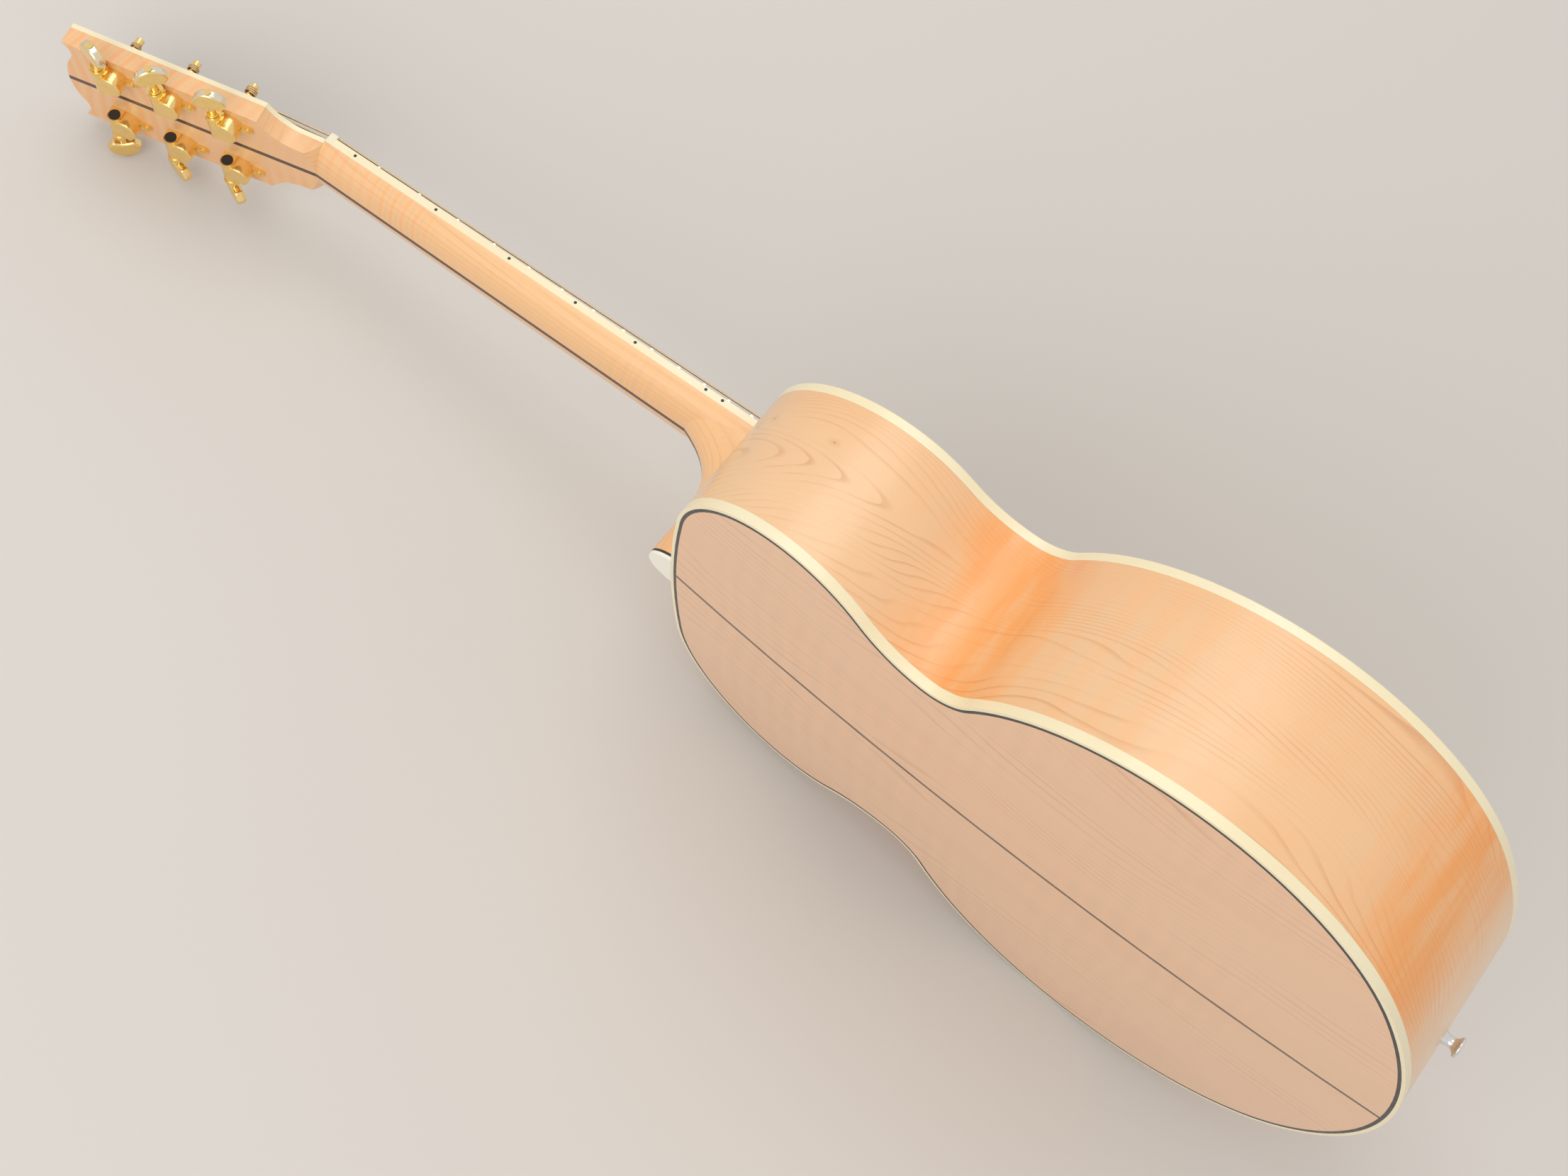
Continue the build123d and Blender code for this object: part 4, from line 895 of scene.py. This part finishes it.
def softened(node: str, finish: Finish, width: float, sharp: float = 40.0) -> bpy.types.Object:
    """Copies a node with its sharp edges rounded.

    Args:
        node: the CAD node.
        finish: its finish.
        width: the width of the rounding.
        sharp: the angle in degrees above which an edge is rounded.

    Returns:
        The piece that replaces the node.
    """
    shape = welded(node)
    bmesh.ops.dissolve_limit(shape, angle_limit=math.radians(0.5), verts=shape.verts, edges=shape.edges)
    edges = [
        edge for edge in shape.edges if len(edge.link_faces) == 2 and edge.calc_face_angle(0.0) > math.radians(sharp)
    ]
    bmesh.ops.bevel(shape, geom=edges, offset=width, segments=3, profile=0.5, affect="EDGES", clamp_overlap=True)
    mesh = plain_mesh(node, shape, (finish,))
    piece = add_piece(node + "_soft", mesh, BODY_OF[node], (node,))
    piece.modifiers.new("even shading", "WEIGHTED_NORMAL").keep_sharp = True
    return piece


def swept(name: str, path: Sequence[Vector], radius: float, finish: Finish, sides: int = 10) -> bpy.types.Mesh:
    """Makes a round wire along a path.

    Args:
        name: the mesh's name.
        path: the points of its middle line.
        radius: the wire's radius.
        finish: its finish.
        sides: the corners of its section.

    Returns:
        The wire's closed mesh.
    """
    shape = bmesh.new()
    rings = []
    side = path[1].cross(path[0]).normalized()
    for number, point in enumerate(path):
        way = (path[min(number + 1, len(path) - 1)] - path[max(number - 1, 0)]).normalized()
        side = (side - way * side.dot(way)).normalized()
        up = way.cross(side)
        rings.append([
            shape.verts.new(point + radius * (math.cos(turn) * side + math.sin(turn) * up))
            for turn in (2 * math.pi * corner / sides for corner in range(sides))
        ])
    for low, high in zip(rings, rings[1:]):
        for corner in range(sides):
            after = (corner + 1) % sides
            shape.faces.new((low[corner], low[after], high[after], high[corner]))
    shape.faces.new(list(reversed(rings[0])))
    shape.faces.new(rings[-1])
    bmesh.ops.recalc_face_normals(shape, faces=shape.faces)
    return plain_mesh(name, shape, (finish,), 60.0)


# -------------------------------------------------------------------------------- sub-assemblies


@dataclass
class SoundBox:
    """The body: its plates, ribs, blocks, braces and linings.

    Attributes:
        axis_ends: the stretch of the middle line that lies inside both bouts.
        outward: the least that an outer face of a rib looks away from the middle line.
        step: the shortest step of the outline.
        shoulder: the rib's shoulder, where its pin knots start.
        waist: the rib's waist, where an orange band lies.
        knot_rises: the rise of each pin knot.
        knot_step: the run from one pin knot to the next.
        tail_glow: run and half width of the orange band near the tail.
    """

    axis_ends: tuple[float, float] = (0.20, 0.42)
    outward: float = 0.3
    step: float = 1e-4
    shoulder: Place = (0.47, 0.15, -0.05)
    waist: Place = (0.35, 0.127, -0.05)
    knot_rises: tuple[float, ...] = (0.035, 0.030)
    knot_step: float = 0.055
    tail_glow: tuple[float, float] = (0.16, 0.06)

    def outline(self) -> np.ndarray:
        """Returns the body's outer outline on the bass side, from the tail to the neck, as along and across."""
        mesh = NODES["rib_bass"].data
        places = GUITAR.read(points_of("rib_bass"))[:, :2]
        normals = np.array([vertex.normal for vertex in mesh.vertices]) @ np.array(GUITAR.turn())
        centres = np.column_stack([np.clip(places[:, 0], *self.axis_ends), np.zeros(len(places))])
        facing = ((places - centres) * normals[:, :2]).sum(1) / np.linalg.norm(places - centres, axis=1)
        outer = places[facing > self.outward]
        return outer[np.argsort(outer[:, 0])]

    def rib_places(self, points: np.ndarray) -> np.ndarray:
        """Returns the run round the outline, the rise from the front and a zero, for points of a rib.

        Args:
            points: frame points, one a row.
        """
        line = self.outline()
        line = line[np.concatenate([[True], np.linalg.norm(np.diff(line, axis=0), axis=1) > self.step])]
        steps = np.diff(line, axis=0)
        lengths = np.linalg.norm(steps, axis=1)
        runs = np.concatenate([[0.0], np.cumsum(lengths)])[:-1]
        places = GUITAR.read(points)
        flat = np.column_stack([places[:, 0], np.abs(places[:, 1])])
        share = np.clip(((flat[:, None] - line[None, :-1]) * steps[None]).sum(2) / lengths**2, 0, 1)
        gaps = np.linalg.norm(flat[:, None] - line[None, :-1] - share[..., None] * steps[None], axis=2)
        nearest = gaps.argmin(1)
        rows = np.arange(len(flat))
        run = runs[nearest] + share[rows, nearest] * lengths[nearest]
        return np.column_stack([run, -places[:, 2], np.zeros(len(flat))])

    def run_at(self, place: Place) -> float:
        """Returns the run round the outline at a place in the guitar's axes."""
        return float(self.rib_places(np.array([GUITAR.place(*place)]))[0, 0])

    def rib(self, node: str, finish: Finish) -> bpy.types.Object:
        """Copies a bent part with its run and rise stored on its points.

        Args:
            node: the CAD node.
            finish: a finish that lies along the rib.

        Returns:
            The piece that replaces the node.
        """
        mesh = plain_mesh(node, welded(node), (finish,))
        flat = np.empty(len(mesh.vertices) * 3)
        mesh.vertices.foreach_get("co", flat)
        stored = mesh.attributes.new(RIB_PLACE, "FLOAT_VECTOR", "POINT")
        stored.data.foreach_set("vector", self.rib_places(flat.reshape(-1, 3)).ravel())
        return add_piece(node + "_bent", mesh, BODY_OF[node], (node,))

    def build(self) -> None:
        """Builds the bent parts and dresses the rest."""
        shoulder, waist = (self.run_at(place) for place in (self.shoulder, self.waist))
        knots = tuple((shoulder + number * self.knot_step, rise) for number, rise in enumerate(self.knot_rises))
        finish = replace(RIBS, knots=knots, glow=((waist - 0.01, 0.045), self.tail_glow))
        self.rib("rib_bass", finish)
        self.rib("rib_treble", finish)
        paint(BACK, "back_bass", "back_treble")
        paint(BACK_STRIP, "back_centre_strip")
        paint(SPRUCE, "soundboard")
        paint(BRACE_SPRUCE, "top_braces", "back_braces", "linings")
        paint(MAHOGANY, "neck_block", "tail_block")


@dataclass
class Trim:
    """The bindings, the lines inside them and the soundhole ring.

    Attributes:
        edge_round: the rounding of a binding's corners.
    """

    edge_round: float = 0.0007

    def build(self) -> None:
        """Builds the lines and dresses the bindings."""
        softened("top_binding", CREAM, self.edge_round)
        paint(CREAM, "back_binding", "board_binding", "head_binding")
        for node in ("back_purfling", "top_purfling", "heel_ply", "rosette"):
            lined(node, (INLAY_BLACK, INLAY_WHITE))
        paint(TORTOISE, "pickguard")


@dataclass
class Neck:
    """The neck with its heel, fretboard and nut."""

    def build(self) -> None:
        """Dresses the neck's pieces."""
        paint(NECK, "neck_bass", "neck_treble")
        paint(NECK_STRIP, "neck_strip")
        paint(WHITE, "heel_cap")
        paint(ROSEWOOD, "fretboard")
        paint(FRET_METAL, "frets")
        paint(PEARL, "fret_inlays")
        paint(BLACK, "side_dots", "truss_cover")
        paint(BONE, "nut")
        paint(BLACK_VENEER, "head_veneer")
        paint(STEEL, "truss_rod")


@dataclass
class Tuners:
    """The six tuning machines and the string turns round their posts.

    Attributes:
        turns: string turns round a post.
        steps: points in a turn.
        first_turn: how far below the post's top the first turn lies.
        head_height: how far down from its top a post is measured for its turns.
        turn_pitch: the rise of a turn, in string radii.
        bass_reflection: how strong the painted silvery reflection is on the rims of the bass row of buttons.
        treble_reflection: the same for the treble row.
        gauges: each string's radius, from the thickest.
    """

    turns: float = 3.2
    steps: int = 24
    first_turn: float = 0.0075
    head_height: float = 0.010
    turn_pitch: float = 2.1
    bass_reflection: float = 0.85
    treble_reflection: float = 0.12
    gauges: tuple[float, ...] = (0.00016, 0.0002, 0.0003, 0.00041, 0.00053, 0.00067)

    def post_axis(self, string: int) -> tuple[Vector, Vector]:
        """Returns a point on a post's axis and the axis itself."""
        joint = JOINTS[f"post_spin_{string}"]
        return Vector(joint["pos_m"]), Vector(joint["axis"]).normalized()

    def winding(self, string: int) -> bpy.types.Object:
        """Winds a string round its post where the post's waist is, just under its top."""
        centre, axis = self.post_axis(string)
        points = points_of(f"post_{string}")
        rel = points - np.array(centre)
        heights = rel @ np.array(axis)
        radii = np.linalg.norm(rel - heights[:, None] * np.array(axis), axis=1)
        top = float(heights.max())
        gauge = self.gauges[string - 1]
        reach = float(radii[heights > top - self.head_height].max()) + gauge
        side, start = HEAD.across, top - self.first_turn
        up = axis.cross(side)
        path = []
        for number in range(int(self.turns * self.steps) + 1):
            turn = 2 * math.pi * number / self.steps
            height = start + number / self.steps * gauge * self.turn_pitch
            path.append(centre + axis * height + (math.cos(turn) * side + math.sin(turn) * up) * reach)
        mesh = swept(f"turns_{string}", path, gauge, PLAIN_STRING if string <= PLAIN_COUNT else WOUND)
        return add_piece(f"string_turns_{string}", mesh, f"post_{string}")

    def button_finish(self, string: int) -> PaintedReflectionButton:
        """Returns the finish of a button, which knows where its rim and its screw are."""
        points = points_of(f"button_{string}")
        spindle = Vector(JOINTS[f"button_spin_{string}"]["axis"]).normalized()
        middle = (points.max(0) + points.min(0)) / 2
        outward = spindle if spindle.dot(Vector(middle) - HEAD.origin) > 0 else -spindle
        reach = (points - middle) @ np.array(outward)
        blade = points[reach > 0] - points[reach > 0].mean(0)
        across_blade = blade - (blade @ np.array(outward))[:, None] * np.array(outward)
        _, ways = np.linalg.eigh(across_blade.T @ across_blade)
        flat = ways[:, 1]
        # painted reflection: strong on the bass row's rims, faint on the treble row's
        reflection_share = self.bass_reflection if string > 3 else self.treble_reflection
        return PaintedReflectionButton(
            f"button_plate_{string}", clean=GOLD.clean, dull=GOLD.dull, tarnish=GOLD.tarnish, rough=GOLD.rough,
            centre=tuple(middle.tolist()), flat=tuple(flat.tolist()), spindle=tuple(outward), half=float(reach.max()),
            reflection_share=reflection_share,
        )

    def build(self) -> None:
        """Dresses the tuners and winds the strings on."""
        paint(GOLD, "tuner_housings", "tuner_bushings", "tuner_screws")
        paint(BLACK, "tuner_plugs")
        for string in range(1, STRING_COUNT + 1):
            paint(self.button_finish(string), f"button_{string}")
            paint(GOLD, f"worm_{string}", f"post_{string}")
            self.winding(string)


@dataclass
class FrontHardware:
    """The bridge, saddle, pins, strings and strap buttons."""

    def build(self) -> None:
        """Dresses the front's pieces."""
        paint(ROSEWOOD, "bridge")
        paint(BONE, "saddle")
        paint(WHITE, "bridge_pins")
        paint(CHROME, "strap_button")
        shape = welded("strings")
        order = sorted(islands(shape), key=lambda island: -float(np.mean([
            GUITAR.read(np.array([vertex.co]))[0, 1] for face in island for vertex in face.verts])))
        for number, island in enumerate(order):
            for face in island:
                face.material_index = int(number >= STRING_COUNT - PLAIN_COUNT)
        mesh = plain_mesh("strings", shape, (WOUND, PLAIN_STRING))
        add_piece("strings_wound", mesh, "guitar", ("strings",))


# ---------------------------------------------------------------------------------------- studio


@dataclass(frozen=True)
class Softbox:
    """A square area lamp that faces the guitar.

    Attributes:
        name: the lamp's name.
        place: where it hangs, from the guitar's middle.
        size: its side.
        power: its power in watts.
        colour: its colour.
    """

    name: str
    place: Place
    size: float
    power: float
    colour: Colour = (1.0, 1.0, 1.0)

    def build(self, aim: Vector) -> None:
        """Hangs the lamp.

        Args:
            aim: the point that it faces.
        """
        lamp = bpy.data.lights.new(self.name, "AREA")
        lamp.energy, lamp.size, lamp.color = self.power, self.size, self.colour
        obj = put(self.name, lamp)
        obj.location = aim + Vector(self.place)
        obj.rotation_euler = (aim - obj.location).to_track_quat("-Z", "Y").to_euler()
        log.info("hung %s", self.name)


@dataclass
class Studio:
    """The floor, the lamps, the soft light all round and the camera.

    Attributes:
        floor_reach: half the floor's side.
        floor_gap: how far the floor lies under the guitar.
        room_light: the strength of the light from all round.
        camera_azimuth: the way the camera looks, in degrees from the head's direction.
        camera_drop: how far the camera looks down, in degrees.
        camera_roll: its turn about its own line of sight, in degrees.
        camera_distance: its distance from the point it looks at.
        camera_aim: that point, from the middle of the guitar's box.
        lens: its focal length in millimetres.
        sensor: the width of its frame in millimetres.
        shift: its lens shift, as shares of the frame's width.
        lamps: the lamps.
    """

    floor_reach: float = 30.0
    floor_gap: float = 0.0003
    room_light: float = 0.78
    camera_azimuth: float = -83.81
    camera_drop: float = 69.54
    camera_roll: float = -32.45
    camera_distance: float = 1.4987
    camera_aim: Place = (-0.0721, 0.0207, -0.0110)
    lens: float = 56.7
    sensor: float = 36.0
    shift: tuple[float, float] = (-0.0095, 0.0027)
    lamps: tuple[Softbox, ...] = (
        Softbox("key_light", (0.9, -0.7, 2.6), 1.9, 19.0, (1.0, 0.985, 0.96)),
        Softbox("camera_side_light", (0.4, 2.6, 2.0), 2.6, 34.0),
    )

    def build(self) -> None:
        """Builds the floor, lights and camera."""
        low, high = CAD_BOX
        middle = (low + high) / 2
        self.floor()
        for lamp in self.lamps:
            lamp.build(middle)
        world = bpy.data.worlds.new("room")
        bpy.context.scene.world = world
        world.use_nodes = True
        background = world.node_tree.nodes["Background"]
        background.inputs["Color"].default_value = (1.0, 0.985, 0.965, 1.0)
        background.inputs["Strength"].default_value = self.room_light
        self.camera(middle + Vector(self.camera_aim))
        bpy.context.scene.view_settings.view_transform = "Standard"

    def floor(self) -> None:
        """Lays the floor just under the guitar."""
        shape = bmesh.new()
        bmesh.ops.create_grid(shape, x_segments=8, y_segments=8, size=self.floor_reach)
        mesh = bpy.data.meshes.new("floor")
        shape.to_mesh(mesh)
        shape.free()
        mesh.materials.append(FLOOR.material())
        floor = put("floor", mesh)
        floor.location.z = -self.floor_gap

    def camera(self, aim: Vector) -> None:
        """Sets up the camera.

        Args:
            aim: the point that it looks at.
        """
        angles = (self.camera_azimuth, self.camera_drop, self.camera_roll)
        azimuth, drop, roll = (math.radians(angle) for angle in angles)
        forward = Vector((math.cos(drop) * math.cos(azimuth), math.cos(drop) * math.sin(azimuth), -math.sin(drop)))
        level = forward.cross(Vector((0, 0, 1))).normalized()
        up = math.cos(roll) * level.cross(forward) + math.sin(roll) * level
        camera = bpy.data.cameras.new("camera")
        camera.lens, camera.sensor_width = self.lens, self.sensor
        camera.shift_x, camera.shift_y = self.shift
        obj = put("camera", camera)
        turn = Matrix((forward.cross(up), up, -forward)).transposed()
        obj.matrix_world = Matrix.Translation(aim - forward * self.camera_distance) @ turn.to_4x4()
        bpy.context.scene.camera = obj


def main() -> None:
    """Builds the guitar's sub-assemblies in order, then the studio."""
    logging.basicConfig(level=logging.INFO, format="%(name)s: %(message)s")
    for part in (SoundBox(), Trim(), Neck(), Tuners(), FrontHardware(), Studio()):
        log.info("building %s", type(part).__name__)
        part.build()


if __name__ == "__main__":
    main()
